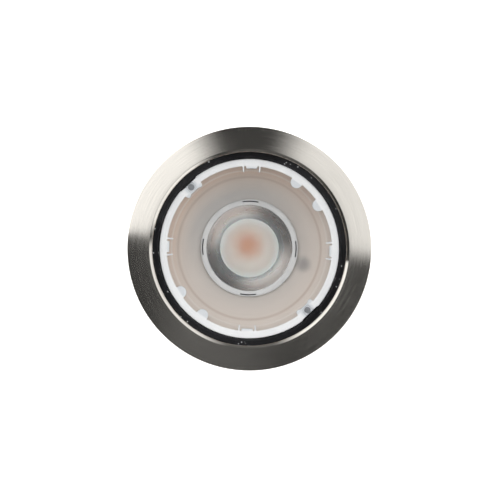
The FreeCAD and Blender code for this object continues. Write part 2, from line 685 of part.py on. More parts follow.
def add_fins(body):
    """Radial fins with cut corners, rooted in the base."""
    root = "base_back_level - base_thickness / 2"
    sketch = new_sketch(body, "XZ_Plane", turn="180 / fin_count")
    draw_loop(sketch, [
        ("fin_start", root),
        ("fin_radius", root),
        ("fin_radius", "fin_top_level - fin_bevel"),
        ("fin_radius - fin_bevel", "fin_top_level"),
        ("fin_start", "fin_top_level"),
    ])
    fin = pad(body, sketch, "fin_thickness", Midplane=True)
    repeat_round(body, [fin], "fin_count")


def add_wiring_chamber(body):
    """Square chamber between the fins, with a post for a cap screw in every corner."""
    sketch = new_sketch(body, "XY_Plane", "base_back_level")
    draw_square(sketch, "chamber_outside")
    pad(body, sketch, "chamber_depth")
    sketch = new_sketch(body, "XY_Plane", "chamber_top_level")
    draw_square(sketch, "chamber_half")
    pocket(body, sketch, "chamber_depth")
    sketch = new_sketch(body, "XY_Plane", "base_back_level")
    inside, outside = "chamber_outside - post_side", "chamber_half + chamber_wall / 2"
    draw_rectangle(sketch, inside, inside, outside, outside)
    post = pad(body, sketch, "chamber_depth")
    repeat_round(body, [post], "4")
    sketch = new_sketch(body, "XY_Plane", "chamber_top_level")
    draw_circle(sketch, "post_centre", "post_centre", "cap_screw_radius + thread_gap")
    hole = pocket(body, sketch, "cap_screw_grip + 2 * hole_run_out")
    repeat_round(body, [hole], "4")


def add_base_holes(body):
    """Passage for the leads, and holes for the screws of the block and of the holder."""
    sketch = new_sketch(body, "XY_Plane", "base_back_level")
    draw_circle(sketch, "0", "wire_circle", "wire_hole_radius")
    pocket(body, sketch, "base_thickness")
    sketch = new_sketch(body, "XY_Plane", "base_back_level")
    draw_circle(sketch, "0", "0", "block_screw_radius + thread_gap")
    pocket(body, sketch, "block_screw_grip + hole_run_out")
    sketch = new_sketch(body, "XY_Plane", "base_level")
    draw_circle(sketch, "holder_screw_circle", "0", "holder_screw_radius + thread_gap")
    hole = pocket(body, sketch, "holder_screw_length - holder_height + hole_run_out", Reversed=True)
    repeat_round(body, [hole], "2")


# ---------------------------------------------------------------- optics

def make_optic_ring():
    """White moulded ring: face and outer wall, snap tabs, prongs, round lugs, screw lugs."""
    body = new_body("optic_ring", "optic_clocking")
    revolve(body, [
        ("ring_bore", "ring_front_level"),
        ("ring_radius", "ring_front_level"),
        ("ring_radius", "ring_seat_level"),
        ("ring_radius - ring_wall", "ring_seat_level"),
        ("ring_radius - ring_wall", "ring_back_level"),
        ("ring_bore", "ring_back_level"),
    ])
    inside_face = "(ring_bore + ring_radius) / 2"
    sketch = new_sketch(body, "XY_Plane", "ring_front_level")
    draw_rectangle(sketch, "ring_bore - tab_reach", "-tab_width / 2",
                   inside_face, "tab_width / 2")
    for side in ("-1", "1"):
        middle = f"{side} * prong_spacing / 2"
        draw_rectangle(sketch, "ring_bore - prong_reach", f"{middle} - prong_width / 2",
                       inside_face, f"{middle} + prong_width / 2")
    tabs = pad(body, sketch, "ring_thickness")
    repeat_round(body, [tabs], "tab_count")
    add_lugs(body)
    add_screw_lugs(body, inside_face)


def add_lugs(body):
    """Two pairs of round lugs on the ring's inner edge."""
    sketch = new_sketch(body, "XY_Plane", "ring_front_level", "135")
    for side in ("-1", "1"):
        angle = f"{side} * lug_angle"
        draw_circle(sketch, f"lug_circle * cos({angle})", f"lug_circle * sin({angle})",
                    "lug_radius")
    lugs = pad(body, sketch, "ring_thickness")
    repeat_round(body, [lugs], "2")


def add_screw_lugs(body, inside_face):
    """Lugs with counterbored holes; the ring's edge is cut flat beside them."""
    sketch = new_sketch(body, "XY_Plane", "ring_front_level", "45")
    draw_rectangle(sketch, "ring_bore - screw_lug_reach", "-screw_lug_width / 2",
                   inside_face, "screw_lug_width / 2")
    lug = pad(body, sketch, "ring_thickness")
    repeat_round(body, [lug], "2")
    cuts = []
    sketch = new_sketch(body, "XY_Plane", "ring_front_level", "45")
    draw_rectangle(sketch, "ring_radius - recess_depth", "-recess_length / 2",
                   "ring_radius + cut_margin", "recess_length / 2")
    cuts.append(pocket(body, sketch, "ring_height", Reversed=True))
    sketch = new_sketch(body, "XY_Plane", "ring_front_level", "45")
    draw_circle(sketch, "ring_screw_circle", "0", "ring_screw_radius + shank_gap")
    cuts.append(pocket(body, sketch, "ring_height", Reversed=True))
    sketch = new_sketch(body, "XY_Plane", "ring_front_level", "45")
    draw_circle(sketch, "ring_screw_circle", "0", "ring_screw_head + counterbore_gap")
    cuts.append(pocket(body, sketch, "ring_screw_sink", Reversed=True))
    repeat_round(body, cuts, "2")


def make_optic_ring_screws():
    """Two small screws sunk in the ring's lugs."""
    body = new_body("optic_ring_screws", "optic_clocking")
    head_level = "ring_front_level + 0.3 * ring_screw_sink"
    sketch = new_sketch(body, "XY_Plane", head_level, "45")
    draw_circle(sketch, "ring_screw_circle", "0", "ring_screw_head")
    head = pad(body, sketch, "0.7 * ring_screw_sink")
    sketch = new_sketch(body, "XY_Plane", "ring_front_level + ring_screw_sink", "45")
    draw_circle(sketch, "ring_screw_circle", "0", "ring_screw_radius")
    shank = pad(body, sketch, "ring_screw_length")
    repeat_round(body, [head, shank], "2")


def make_reflector_bowl():
    """Thin curved bowl with a flat rim, notched for the two ledges that hold screws."""
    body = new_body("reflector_bowl", "optic_clocking")
    bands = int(value("bowl_bands"))
    rim_back = "ring_back_level + bowl_wall"
    mouth, throat = ("bowl_mouth", "ring_back_level"), ("bowl_throat", "collar_seat_level")
    outer_mouth = ("bowl_mouth + bowl_wall", rim_back)
    outer_throat = ("bowl_throat + bowl_wall", "collar_seat_level")
    outside = bands_along(outer_mouth, outer_throat, "bowl_curve + bowl_wall", True, bands)
    inside = bands_along(throat, mouth, "bowl_curve", False, bands)
    revolve(body, [("bowl_rim", "ring_back_level"), ("bowl_rim", rim_back), outer_mouth]
            + outside + [throat] + inside)
    sketch = new_sketch(body, "XY_Plane", "ring_back_level", "45")
    half_width = "ledge_width / 2 + ledge_notch_gap"
    draw_rectangle(sketch, "screw_ledge_bore - ledge_notch_gap", f"-({half_width})",
                   "bowl_rim + cut_margin", half_width)
    depth = "ring_seat_level + ledge_height + ledge_notch_gap - ring_back_level"
    notch = pocket(body, sketch, depth, Reversed=True)
    repeat_round(body, [notch], "2")


def make_reflector_collar():
    """Throat collar: a lip with four slots and a notch, on a body that carries the bowl."""
    body = new_body("reflector_collar", "optic_clocking")
    revolve(body, [
        ("collar_bore", "collar_front_level"),
        ("collar_radius", "collar_front_level"),
        ("collar_radius", "collar_seat_level"),
        ("collar_body_radius", "collar_seat_level"),
        ("collar_body_radius", "base_level"),
        ("collar_core_radius", "base_level"),
        ("collar_core_radius", "cone_rim_level"),
        ("collar_bore", "cone_rim_level"),
    ])
    inner, outer = "slot_circle - slot_width / 2", "slot_circle + slot_width / 2"
    across, up = "cos(slot_sweep / 2)", "sin(slot_sweep / 2)"
    sketch = new_sketch(body, "XY_Plane", "collar_front_level")
    draw_loop(sketch, [
        (f"({inner}) * {across}", f"-({inner}) * {up}", inner, False),
        (f"({outer}) * {across}", f"-({outer}) * {up}"),
        (f"({outer}) * {across}", f"({outer}) * {up}", outer, True),
        (f"({inner}) * {across}", f"({inner}) * {up}"),
    ])
    slot = pocket(body, sketch, "slot_depth", Reversed=True)
    repeat_round(body, [slot], "slot_count")
    sketch = new_sketch(body, "XY_Plane", "collar_front_level", "45")
    draw_rectangle(sketch, "collar_radius - lip_notch_depth", "-lip_notch_width / 2",
                   "collar_radius + cut_margin", "lip_notch_width / 2")
    pocket(body, sketch, "slot_depth", Reversed=True)


def make_inner_reflector():
    """Polished cone between the collar's lip and the dome's foot."""
    body = new_body("inner_reflector")
    throat_level = "holder_front_level - dome_foot"
    revolve(body, [
        ("cone_mouth", "cone_rim_level"),
        ("collar_core_radius - cone_play", "cone_rim_level"),
        ("cone_throat + cone_wall", throat_level),
        ("cone_throat", throat_level),
    ])


def make_dome_diffuser():
    """Frosted shallow dome, moulded solid, with a foot that the inner reflector clamps."""
    body = new_body("dome_diffuser")
    curve = "(dome_radius ^ 2 + dome_rise ^ 2) / (2 * dome_rise)"
    foot_level = "holder_front_level - dome_foot"
    tip, foot = ("0", "dome_tip_level"), ("dome_radius", foot_level)
    revolve(body, [tip] + bands_along(tip, foot, curve, True, int(value("dome_bands"))) + [
        ("dome_foot_radius", foot_level),
        ("dome_foot_radius", "holder_front_level"),
        ("0", "holder_front_level"),
    ])


# ---------------------------------------------------------------- light source

def plate(name, side, bottom, thickness):
    """A square plate centred on the lamp's axis."""
    body = new_body(name)
    sketch = new_sketch(body, "XY_Plane", bottom)
    draw_rectangle(sketch, f"-{side} / 2", f"-{side} / 2", f"{side} / 2", f"{side} / 2")
    pad(body, sketch, thickness)


def make_light_source():
    """Thermal pad, board and emitter, stacked on the heat sink's face."""
    plate("thermal_pad", "board_side", "board_back_level", "pad_thickness")
    plate("led_board", "board_side", "board_front_level", "board_thickness")
    body = new_body("led_emitter")
    sketch = new_sketch(body, "XY_Plane", "board_front_level")
    draw_circle(sketch, "0", "0", "emitter_radius")
    pad(body, sketch, "emitter_thickness", Reversed=True)


def make_led_holder():
    """Eight-sided plate over the board: a window, a slot for the leads, two screw holes."""
    body = new_body("led_holder")
    half = "holder_flats / 2"
    sketch = new_sketch(body, "XY_Plane", "holder_front_level")
    draw_cut_square(sketch, half, "holder_flats / 2 * (1 - tan(22.5))")
    draw_circle(sketch, "0", "0", "holder_bore")
    pad(body, sketch, "holder_height")
    half_side = "board_side / 2 + board_play"
    sketch = new_sketch(body, "XY_Plane", "board_front_level")
    draw_rectangle(sketch, f"-({half_side})", f"-({half_side})", half_side, half_side)
    pocket(body, sketch, "base_level - board_front_level", Reversed=True)
    sketch = new_sketch(body, "XY_Plane", "holder_front_level")
    draw_rectangle(sketch, "-channel_width / 2", "channel_start",
                   "channel_width / 2", "holder_flats / 2 + cut_margin")
    pocket(body, sketch, "holder_height", Reversed=True)
    hole = "holder_screw_radius + shank_gap"
    mouth = "holder_screw_head + shank_gap"
    cut = groove(body, [
        ("0", "holder_front_level"),
        (mouth, "holder_front_level"),
        (hole, f"holder_front_level + {mouth} - ({hole})"),
        (hole, "base_level"),
        ("0", "base_level"),
    ], "holder_screw_circle")
    repeat_round(body, [cut], "2")


def make_holder_screws():
    """Two countersunk screws through the holder into the heat sink."""
    body = new_body("holder_screws")
    screw = revolve(body, [
        ("0", "holder_front_level"),
        ("holder_screw_head", "holder_front_level"),
        ("holder_screw_radius",
         "holder_front_level + holder_screw_head - holder_screw_radius"),
        ("holder_screw_radius", "holder_front_level + holder_screw_length"),
        ("0", "holder_front_level + holder_screw_length"),
    ], "holder_screw_circle")
    repeat_round(body, [screw], "2")


def round_path(points, bend):
    """Straight edges through the points, with an arc of that radius at every corner."""
    edges = []
    start = points[0]
    for before, corner, after in zip(points, points[1:], points[2:]):
        back = (before - corner).normalize()
        onward = (after - corner).normalize()
        half_angle = back.getAngle(onward) / 2
        cut = bend / math.tan(half_angle)
        first, last = corner + back * cut, corner + onward * cut
        depth = bend / math.sin(half_angle) - bend
        middle = corner + (back + onward).normalize() * depth
        edges.append(Part.makeLine(start, first))
        edges.append(Part.Arc(first, middle, last).toShape())
        start = last
    edges.append(Part.makeLine(start, points[-1]))
    return edges


def bar_along(edges, radius, sides=6):
    """A solid bar with a many-sided section that follows the edges."""
    path = Part.Wire(edges)
    start = edges[0].Vertexes[0].Point
    forward = (edges[0].Vertexes[1].Point - start).normalize()
    first = forward.cross(Vector(0.3, 1, 0.2)).normalize()
    second = forward.cross(first)
    corners = []
    for n in range(sides + 1):
        angle = 2 * math.pi * n / sides
        corners.append(start + first * (radius * math.cos(angle))
                       + second * (radius * math.sin(angle)))
    sweep = Part.BRepOffsetAPI.MakePipeShell(path)
    sweep.add(Part.makePolygon(corners))
    sweep.build()
    sweep.makeSolid()
    return sweep.shape()


def add_shape(name, shape):
    """A sub-part that is swept in code."""
    feature = document.addObject("Part::Feature", name)
    feature.Label = name
    feature.Shape = shape
    parts.append(feature)
    return feature


def make_lead_wires():
    """Two leads from the board through the heat sink into the terminal block."""
    leads = []
    bend, radius = value("wire_bend"), value("wire_radius")
    for side in (-1, 1):
        near = side * value("wire_spacing") / 2
        far = side * value("pole_spacing") / 2
        out = value("wire_circle")
        points = [
            Vector(near, value("wire_start"), value("wire_level")),
            Vector(near, out, value("wire_level")),
            Vector(near, out, value("wire_entry_level")),
            Vector(far, -value("wire_end"), value("wire_entry_level")),
        ]
        leads.append(bar_along(round_path(points, bend), radius))
    add_shape("lead_wires", Part.makeCompound(leads))


# ---------------------------------------------------------------- wiring chamber's cap

def screw_group(name, circle, count, seat, radius, head, head_height, length, turn="0"):
    """Cylinder-head screws round the axis, heads up on the seat level."""
    body = new_body(name, turn)
    screw = revolve(body, [
        ("0", f"{seat} - ({length})"),
        (radius, f"{seat} - ({length})"),
        (radius, seat),
        (head, seat),
        (head, f"{seat} + {head_height}"),
        ("0", f"{seat} + {head_height}"),
    ], circle)
    if count != "1":
        repeat_round(body, [screw], count)


def drill_cap_holes(body, level, thickness):
    """Clearance holes for the cap's screws."""
    sketch = new_sketch(body, "XY_Plane", level)
    draw_circle(sketch, "post_centre", "post_centre", "cap_screw_radius + shank_gap")
    hole = pocket(body, sketch, thickness, Reversed=True)
    repeat_round(body, [hole], "4")


def make_rear_cap():
    """Lid of the wiring chamber, its gasket and its four screws."""
    body = new_body("rear_cap_gasket")
    sketch = new_sketch(body, "XY_Plane", "chamber_top_level")
    draw_square(sketch, "chamber_outside")
    draw_cut_square(sketch, "chamber_half", "post_side - chamber_wall / 2")
    pad(body, sketch, "cap_gasket_thickness")
    drill_cap_holes(body, "chamber_top_level", "cap_gasket_thickness")
    body = new_body("rear_cap")
    sketch = new_sketch(body, "XY_Plane", "cap_front_level")
    draw_cut_square(sketch, "chamber_outside + cap_overhang", "cap_corner")
    draw_circle(sketch, "0", "0", "gland_thread_radius + gland_hole_gap")
    pad(body, sketch, "cap_thickness")
    drill_cap_holes(body, "cap_front_level", "cap_thickness")
    screw_group("rear_cap_screws", "post_centre * sqrt(2)", "4", "cap_back_level",
                "cap_screw_radius", "cap_screw_head", "cap_screw_head_height",
                "cap_thickness + cap_gasket_thickness + cap_screw_grip", "45")


def make_terminal_block():
    """Two-pole block with shoulders, wire holes, clamping holes and a fixing hole."""
    body = new_body("terminal_block")
    half, step = "block_depth / 2", "(block_depth / 2 - block_step)"
    shoulder = "base_back_level + block_step_height"
    top = "base_back_level + block_height"
    sketch = new_sketch(body, "YZ_Plane")
    draw_loop(sketch, [
        (f"-{half}", "base_back_level"),
        (half, "base_back_level"),
        (half, shoulder),
        (step, shoulder),
        (step, top),
        (f"-{step}", top),
        (f"-{step}", shoulder),
        (f"-{half}", shoulder),
    ])
    pad(body, sketch, "block_length", Midplane=True)
    sketch = new_sketch(body, "XZ_Plane")
    for pole in ("-pole_spacing / 2", "pole_spacing / 2"):
        draw_circle(sketch, pole, "wire_entry_level", "wire_entry_radius")
    pocket(body, sketch, "block_depth + cut_margin", Midplane=True)
    sketch = new_sketch(body, "XY_Plane", top)
    for pole in ("-pole_spacing / 2", "pole_spacing / 2"):
        draw_circle(sketch, pole, "0", "pole_hole_radius")
    pocket(body, sketch, "block_height - wire_entry_height")
    sketch = new_sketch(body, "XY_Plane", top)
    draw_circle(sketch, "0", "0", "block_screw_radius + shank_gap")
    pocket(body, sketch, "block_height")


def make_terminal_screws():
    """The block's fixing screw and its two clamping screws."""
    screw_group("terminal_block_screw", "0", "1", "base_back_level + block_height",
                "block_screw_radius", "block_screw_head", "cap_screw_head_height",
                "block_height + block_screw_grip")
    body = new_body("terminal_clamps")
    bottom = "wire_entry_level + wire_radius + thread_gap"
    sketch = new_sketch(body, "XY_Plane", bottom)
    for pole in ("-pole_spacing / 2", "pole_spacing / 2"):
        draw_circle(sketch, pole, "0", "pole_hole_radius - thread_gap")
    pad(body, sketch, "pole_screw_length")


# ---------------------------------------------------------------- cable gland

def bevel_hexagon(body, flats, level, upward):
    """Turn the corners of a hexagon down to a cone at one end."""
    reach = f"({flats} / sqrt(3) + cut_margin)"
    fall = f"({reach} - {flats} / 2) * tan(30)"
    sign = "-" if upward else "+"
    groove(body, [
        (f"{flats} / 2", level),
        (reach, level),
        (reach, f"{level} {sign} {fall}"),
    ])


def hexagon_pad(body, flats, level, height):
    """A hexagonal prism about the lamp's axis."""
    sketch = new_sketch(body, "XY_Plane", level)
    draw_hexagon(sketch, flats)
    pad(body, sketch, height)


def make_gland_body():
    """Hexagon, threaded spigot through the cap, and neck with a seat for the seal."""
    body = new_body("gland_body")
    seat_bore = "gland_seal_radius + gland_seal_gap"
    hexagon_pad(body, "gland_flats", "gland_seat_level", "gland_hex_height")
    bevel_hexagon(body, "gland_flats", "gland_seat_level", False)
    foot = "gland_seat_level - gland_thread_length"
    neck_top = "gland_neck_level + gland_neck_height"
    revolve(body, [
        ("0", foot),
        ("gland_thread_radius", foot),
        ("gland_thread_radius", "gland_seat_level"),
        ("gland_neck_radius", "gland_neck_level"),
        ("gland_neck_radius", neck_top),
        ("0", neck_top),
    ])
    groove(body, [
        ("0", foot),
        ("gland_bore", foot),
        ("gland_bore", "gland_neck_level"),
        (seat_bore, "gland_neck_level"),
        (seat_bore, neck_top),
        ("0", neck_top),
    ])


def make_gland_nut():
    """Hexagon with a tapered end that presses on the seal."""
    body = new_body("gland_nut")
    hexagon_top = "gland_nut_level + gland_nut_height"
    nut_top = f"{hexagon_top} + gland_taper_height"
    hexagon_pad(body, "gland_flats", "gland_nut_level", "gland_nut_height")
    bevel_hexagon(body, "gland_flats", hexagon_top, True)
    revolve(body, [
        ("0", "gland_nut_level"),
        ("gland_taper_root", "gland_nut_level"),
        ("gland_taper_root", hexagon_top),
        ("gland_taper_end", nut_top),
        ("0", nut_top),
    ])
    bore = "gland_neck_radius + gland_nut_gap"
    groove(body, [
        ("0", "gland_nut_level"),
        (bore, "gland_nut_level"),
        (bore, "gland_seal_level"),
        ("gland_mouth", "gland_seal_level"),
        ("gland_mouth", nut_top),
        ("0", nut_top),
    ])


def make_gland():
    """Cable gland: body, washer, nut inside the cap, seal and nut."""
    make_gland_body()
    hole = "gland_thread_radius + gland_hole_gap"
    ring("gland_washer", hole, "gland_washer_radius", "cap_back_level", "gland_seat_level")
    ring("gland_seal", "cable_radius", "gland_seal_radius",
         "gland_neck_level", "gland_seal_level")
    body = new_body("gland_locknut")
    hexagon_pad(body, "locknut_flats", "cap_front_level - locknut_height", "locknut_height")
    sketch = new_sketch(body, "XY_Plane", "cap_front_level")
    draw_circle(sketch, "0", "0", hole)
    pocket(body, sketch, "locknut_height")
    make_gland_nut()


# ---------------------------------------------------------------- spring clips

def clip_turn(number):
    """Angle of a clip about the lamp's axis."""
    return f"{number - 1} * 360 / clip_count"


def make_clip_bracket(number):
    """Flat plate screwed on the can, with two ears for the pin."""
    body = new_body(f"clip_bracket_{number}", clip_turn(number))
    half = "bracket_width / 2"
    inset = "bracket_width / 2 - bracket_corner"
    sketch = new_sketch(body, "YZ_Plane", "clip_pad_face")
    draw_loop(sketch, [
        (f"-({inset})", "bracket_bottom"), (inset, "bracket_bottom"),
        (half, "bracket_bottom + bracket_corner"),
        (half, "bracket_top - bracket_corner"), (inset, "bracket_top"),
        (f"-({inset})", "bracket_top"), (f"-{half}", "bracket_top - bracket_corner"),
        (f"-{half}", "bracket_bottom + bracket_corner"),
    ])
    pad(body, sketch, "bracket_thickness")
    corner = "ear_radius * tan(22.5)"
    for start in (f"-{half}", f"{half} - bracket_thickness"):
        sketch = new_sketch(body, "XZ_Plane", start)
        draw_loop(sketch, [
            ("clip_pad_face", "pivot_level - ear_drop"),
            ("bracket_face", "pivot_level - ear_drop"),
            (f"pivot_radius + {corner}", "pivot_level - ear_radius"),
            ("pivot_radius + ear_radius", f"pivot_level - {corner}"),
            ("pivot_radius + ear_radius", f"pivot_level + {corner}"),
            (f"pivot_radius + {corner}", "pivot_level + ear_radius"),
            ("clip_pad_face", "pivot_level + ear_radius"),
        ])
        pad(body, sketch, "bracket_thickness")
    sketch = new_sketch(body, "XZ_Plane")
    draw_circle(sketch, "pivot_radius", "pivot_level", "pin_radius + pin_fit")
    pocket(body, sketch, "bracket_width", Midplane=True)
    sketch = new_sketch(body, "YZ_Plane", "bracket_face")
    for side in ("-", ""):
        draw_circle(sketch, f"{side}clip_screw_spacing / 2", "clip_screw_level",
                    "clip_screw_radius + shank_gap")
    pocket(body, sketch, "bracket_thickness")


def make_clip_pins():
    """Pins through ears, cheeks and coil: a head on one side, riveted on the other."""
    body = new_body("clip_pins")
    half_width = "bracket_width / 2"
    features = []
    for start, radius, length in (
            (f"-{half_width}", "pin_radius", "bracket_width"),
            (f"-{half_width} - pin_head_height", "pin_head_radius", "pin_head_height"),
            (half_width, "pin_rivet_radius", "pin_rivet_height")):
        sketch = new_sketch(body, "XZ_Plane", start)
        draw_circle(sketch, "pivot_radius", "pivot_level", radius)
        features.append(pad(body, sketch, length))
    repeat_round(body, features, "clip_count")


def make_clip_screws():
    """Two screws for each bracket."""
    body = new_body("clip_screws")
    features = []
    for radius, length, inward in (
            ("clip_screw_head", "clip_screw_head_height", False),
            ("clip_screw_radius", "bracket_thickness + clip_screw_grip", True)):
        sketch = new_sketch(body, "YZ_Plane", "bracket_face")
        for side in ("-", ""):
            draw_circle(sketch, f"{side}clip_screw_spacing / 2", "clip_screw_level", radius)
        features.append(pad(body, sketch, length, Reversed=inward))
    repeat_round(body, features, "clip_count")


def place_on_arm(body, number):
    """Put a body that is drawn from the pivot downward in its rest position."""
    turn = bind(clip_turn(number))
    place = (f"vector(Sizes.pivot_radius * cos({turn});"
             f" Sizes.pivot_radius * sin({turn}); Sizes.pivot_level)")
    body.setExpression("Placement",
                       f"placement({place}; rotation({turn}; -Sizes.rest_angle; 0))")


def make_clip_arm(number):
    """Tapered blade with two cheeks that turn on the pin, and a hole for the spring."""
    body = new_body(f"clip_arm_{number}")
    sketch = new_sketch(body, "YZ_Plane", "-arm_thickness / 2")
    half_root, half_tip = "arm_root_width / 2", "arm_tip_width / 2"
    taper_end = "-(arm_shoulder + arm_taper)"
    draw_loop(sketch, [
        (f"-{half_root}", "-arm_root"),
        (f"-{half_root}", "-arm_shoulder"),
        (f"-{half_tip}", taper_end),
        (f"-{half_tip}", "-arm_length"),
        (half_tip, "-arm_length"),
        (half_tip, taper_end),
        (half_root, "-arm_shoulder"),
        (half_root, "-arm_root"),
    ])
    pad(body, sketch, "arm_thickness")
    corner = "cheek_radius * tan(22.5)"
    for start in (f"-{half_root}", f"{half_root} - arm_thickness"):
        sketch = new_sketch(body, "XZ_Plane", start)
        draw_loop(sketch, [
            ("-cheek_width / 2", "-cheek_length"), ("cheek_width / 2", "-cheek_length"),
            ("cheek_radius", f"-{corner}"), ("cheek_radius", corner),
            (corner, "cheek_radius"), (f"-{corner}", "cheek_radius"),
            ("-cheek_radius", corner), ("-cheek_radius", f"-{corner}"),
        ])
        pad(body, sketch, "arm_thickness")
    sketch = new_sketch(body, "XZ_Plane")
    draw_circle(sketch, "0", "0", "pin_radius + pin_running_gap")
    pocket(body, sketch, "arm_root_width", Midplane=True)
    sketch = new_sketch(body, "YZ_Plane", "arm_thickness / 2")
    draw_circle(sketch, "hook_side", "-hook_distance", "hook_hole_radius")
    pocket(body, sketch, "arm_thickness")
    place_on_arm(body, number)


def make_clip_sleeve(number):
    """Rubber sleeve over the end of the blade."""
    body = new_body(f"clip_sleeve_{number}")
    sketch = new_sketch(body, "XY_Plane", "-sleeve_start")
    draw_rectangle(sketch, "-sleeve_thickness / 2", "-sleeve_width / 2",
                   "sleeve_thickness / 2", "sleeve_width / 2")
    pad(body, sketch, "arm_length + sleeve_wall - sleeve_start", Reversed=True)
    round_edges(body, "sleeve_round", lambda edge: abs(
        edge.Vertexes[0].Point.z - edge.Vertexes[-1].Point.z) > 0.5)
    sketch = new_sketch(body, "XY_Plane", "-sleeve_start")
    half_thick = "arm_thickness / 2 + sleeve_fit"
    half_wide = "arm_tip_width / 2 + sleeve_fit"
    draw_rectangle(sketch, f"-({half_thick})", f"-({half_wide})", half_thick, half_wide)
    pocket(body, sketch, "arm_length - sleeve_start + sleeve_fit")
    place_on_arm(body, number)


def two_arcs(start, start_way, end, end_way):
    """Two arcs that join two points and follow the given direction at each."""
    step = end - start
    ways = start_way + end_way
    lean = 2 * (1 - start_way.dot(end_way))
    across = step.dot(ways)
    reach = (-across + math.sqrt(across ** 2 + lean * step.dot(step))) / lean
    first_knee, last_knee = start + start_way * reach, end - end_way * reach
    joint = (first_knee + last_knee) / 2
    return [arc_in_corner(start, first_knee, joint), arc_in_corner(joint, last_knee, end)]


def arc_in_corner(start, knee, end):
    """The arc that starts and ends along the two sides of a corner of equal sides."""
    half = (end - start).Length / 2
    side = (knee - start).Length
    tilt = math.acos(min(half / side, 1.0))
    middle = (start + end) / 2
    through = middle + (knee - middle) * (math.tan(tilt / 2) / math.tan(tilt))
    return Part.Arc(start, through, end).toShape()


def coil_point(angle):
    """Centre of the wire and its direction, at an angle from outward toward up."""
    radius, slope = value("spring_coil_radius"), value("spring_slope")
    turn = math.radians(angle)
    along = value("spring_pitch") * ((angle - 180) / 360 - value("spring_turns") / 2)
    centre = Vector(value("pivot_radius") + radius * math.cos(turn), along,
                    value("pivot_level") + radius * math.sin(turn))
    way = Vector(-math.sin(turn), slope, math.cos(turn))
    return centre, way.normalize()


def spring_path():
    """Leg down the bracket, coil round the pin, leg on the arm, and a hook through it."""
    total = 360 * value("spring_turns") + value("rest_angle")
    pieces = math.ceil(total / 90)
    stations = [coil_point(180 + total * n / pieces) for n in range(pieces + 1)]
    (first, first_way), (last, last_way) = stations[0], stations[-1]
    edges = [Part.makeLine(first - first_way * value("spring_rear_leg"), first)]
    for (start, start_way), (end, end_way) in zip(stations, stations[1:]):
        edges += two_arcs(start, start_way, end, end_way)
    tilt = math.radians(value("rest_angle"))
    outward = Vector(math.cos(tilt), 0, math.sin(tilt))
    downward = Vector(math.sin(tilt), 0, -math.cos(tilt))
    knee = last + last_way * (value("hook_distance") * math.hypot(1, value("spring_slope")))
    rise = value("spring_coil_radius + arm_thickness / 2 + spring_gap + spring_wire_radius")
    far_knee = knee + outward * rise
    end = far_knee + downward * value("spring_hook_bend + spring_hook_tip")
    return edges + round_path([last, knee, far_knee, end], value("spring_hook_bend"))


def least_gap(edges, radius):
    """Smallest gap between parts of the wire that aren't neighbours, from points on it."""
    points = []
    for edge in edges:
        points += edge.discretize(Distance=0.4)[:-1]
    apart = int(5 * radius / 0.4) + 4
    gaps = []
    for n, point in enumerate(points):
        gaps += [point.distanceToPoint(other) for other in points[n + apart:]]
    return min(gaps) - 2 * radius


def make_clip_springs():
    """Torsion spring of each clip, wound tighter when its arm is folded up."""
    edges = spring_path()
    radius = value("spring_wire_radius")
    print(f"clip spring: least gap to itself {least_gap(edges, radius):.2f} mm")
    shape = bar_along(edges, radius)
    for number in range(1, int(value("clip_count")) + 1):
        spring = add_shape(f"clip_spring_{number}", shape)
        turn = bind(clip_turn(number))
        spring.setExpression("Placement",
                             f"placement(vector(0; 0; 0); rotation({turn}; 0; 0))")


def make_clips():
    """All spring clips round the can."""
    for number in range(1, int(value("clip_count")) + 1):
        make_clip_bracket(number)
        make_clip_arm(number)
        make_clip_sleeve(number)
    make_clip_springs()
    make_clip_pins()
    make_clip_screws()


def export_parts():
    """Check every sub-part and write it to its own file."""
    document.recompute()
    os.makedirs("parts", exist_ok=True)
    for item in document.Objects:
        if "Invalid" in item.State or "Error" in item.State:
            raise RuntimeError(f"{item.Label} is in state {item.State}")
    for part in parts:
        if part.Shape.isNull() or not part.Shape.isValid():
            raise RuntimeError(f"{part.Label} has no valid shape")
        part.Shape.exportStep(f"parts/{part.Label}.step")
        box = part.Shape.BoundBox
        print(f"{part.Label:22s} {len(part.Shape.Solids)} solid(s)"
              f"  z {box.ZMin:7.2f} to {box.ZMax:7.2f}  volume {part.Shape.Volume:10.1f}")


make_trim_bezel()
make_front_seals()
make_lamp_housing()
make_optic_ring()
make_optic_ring_screws()
make_reflector_bowl()
make_reflector_collar()
make_inner_reflector()
make_dome_diffuser()
make_light_source()
make_led_holder()
make_holder_screws()
make_lead_wires()
make_rear_cap()
make_terminal_block()
make_terminal_screws()
make_gland()
make_clips()
export_parts()
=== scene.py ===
# %% [markdown]
# # A soffit downlight, dressed for its portrait
#
# The lamp hangs in a roof overhang and looks down. The picture is taken from straight below,
# so it shows a stainless trim ring, a pane of glass, and the optics behind the glass. The solid
# model arrives with every piece in its place, in metres; this file gives each piece the shape
# and finish that the camera sees. Numbers below are millimetres until they go into a mesh.

# %% Load the solid model
import json
import math

import bmesh
import bpy
import numpy as np
from mathutils import Matrix


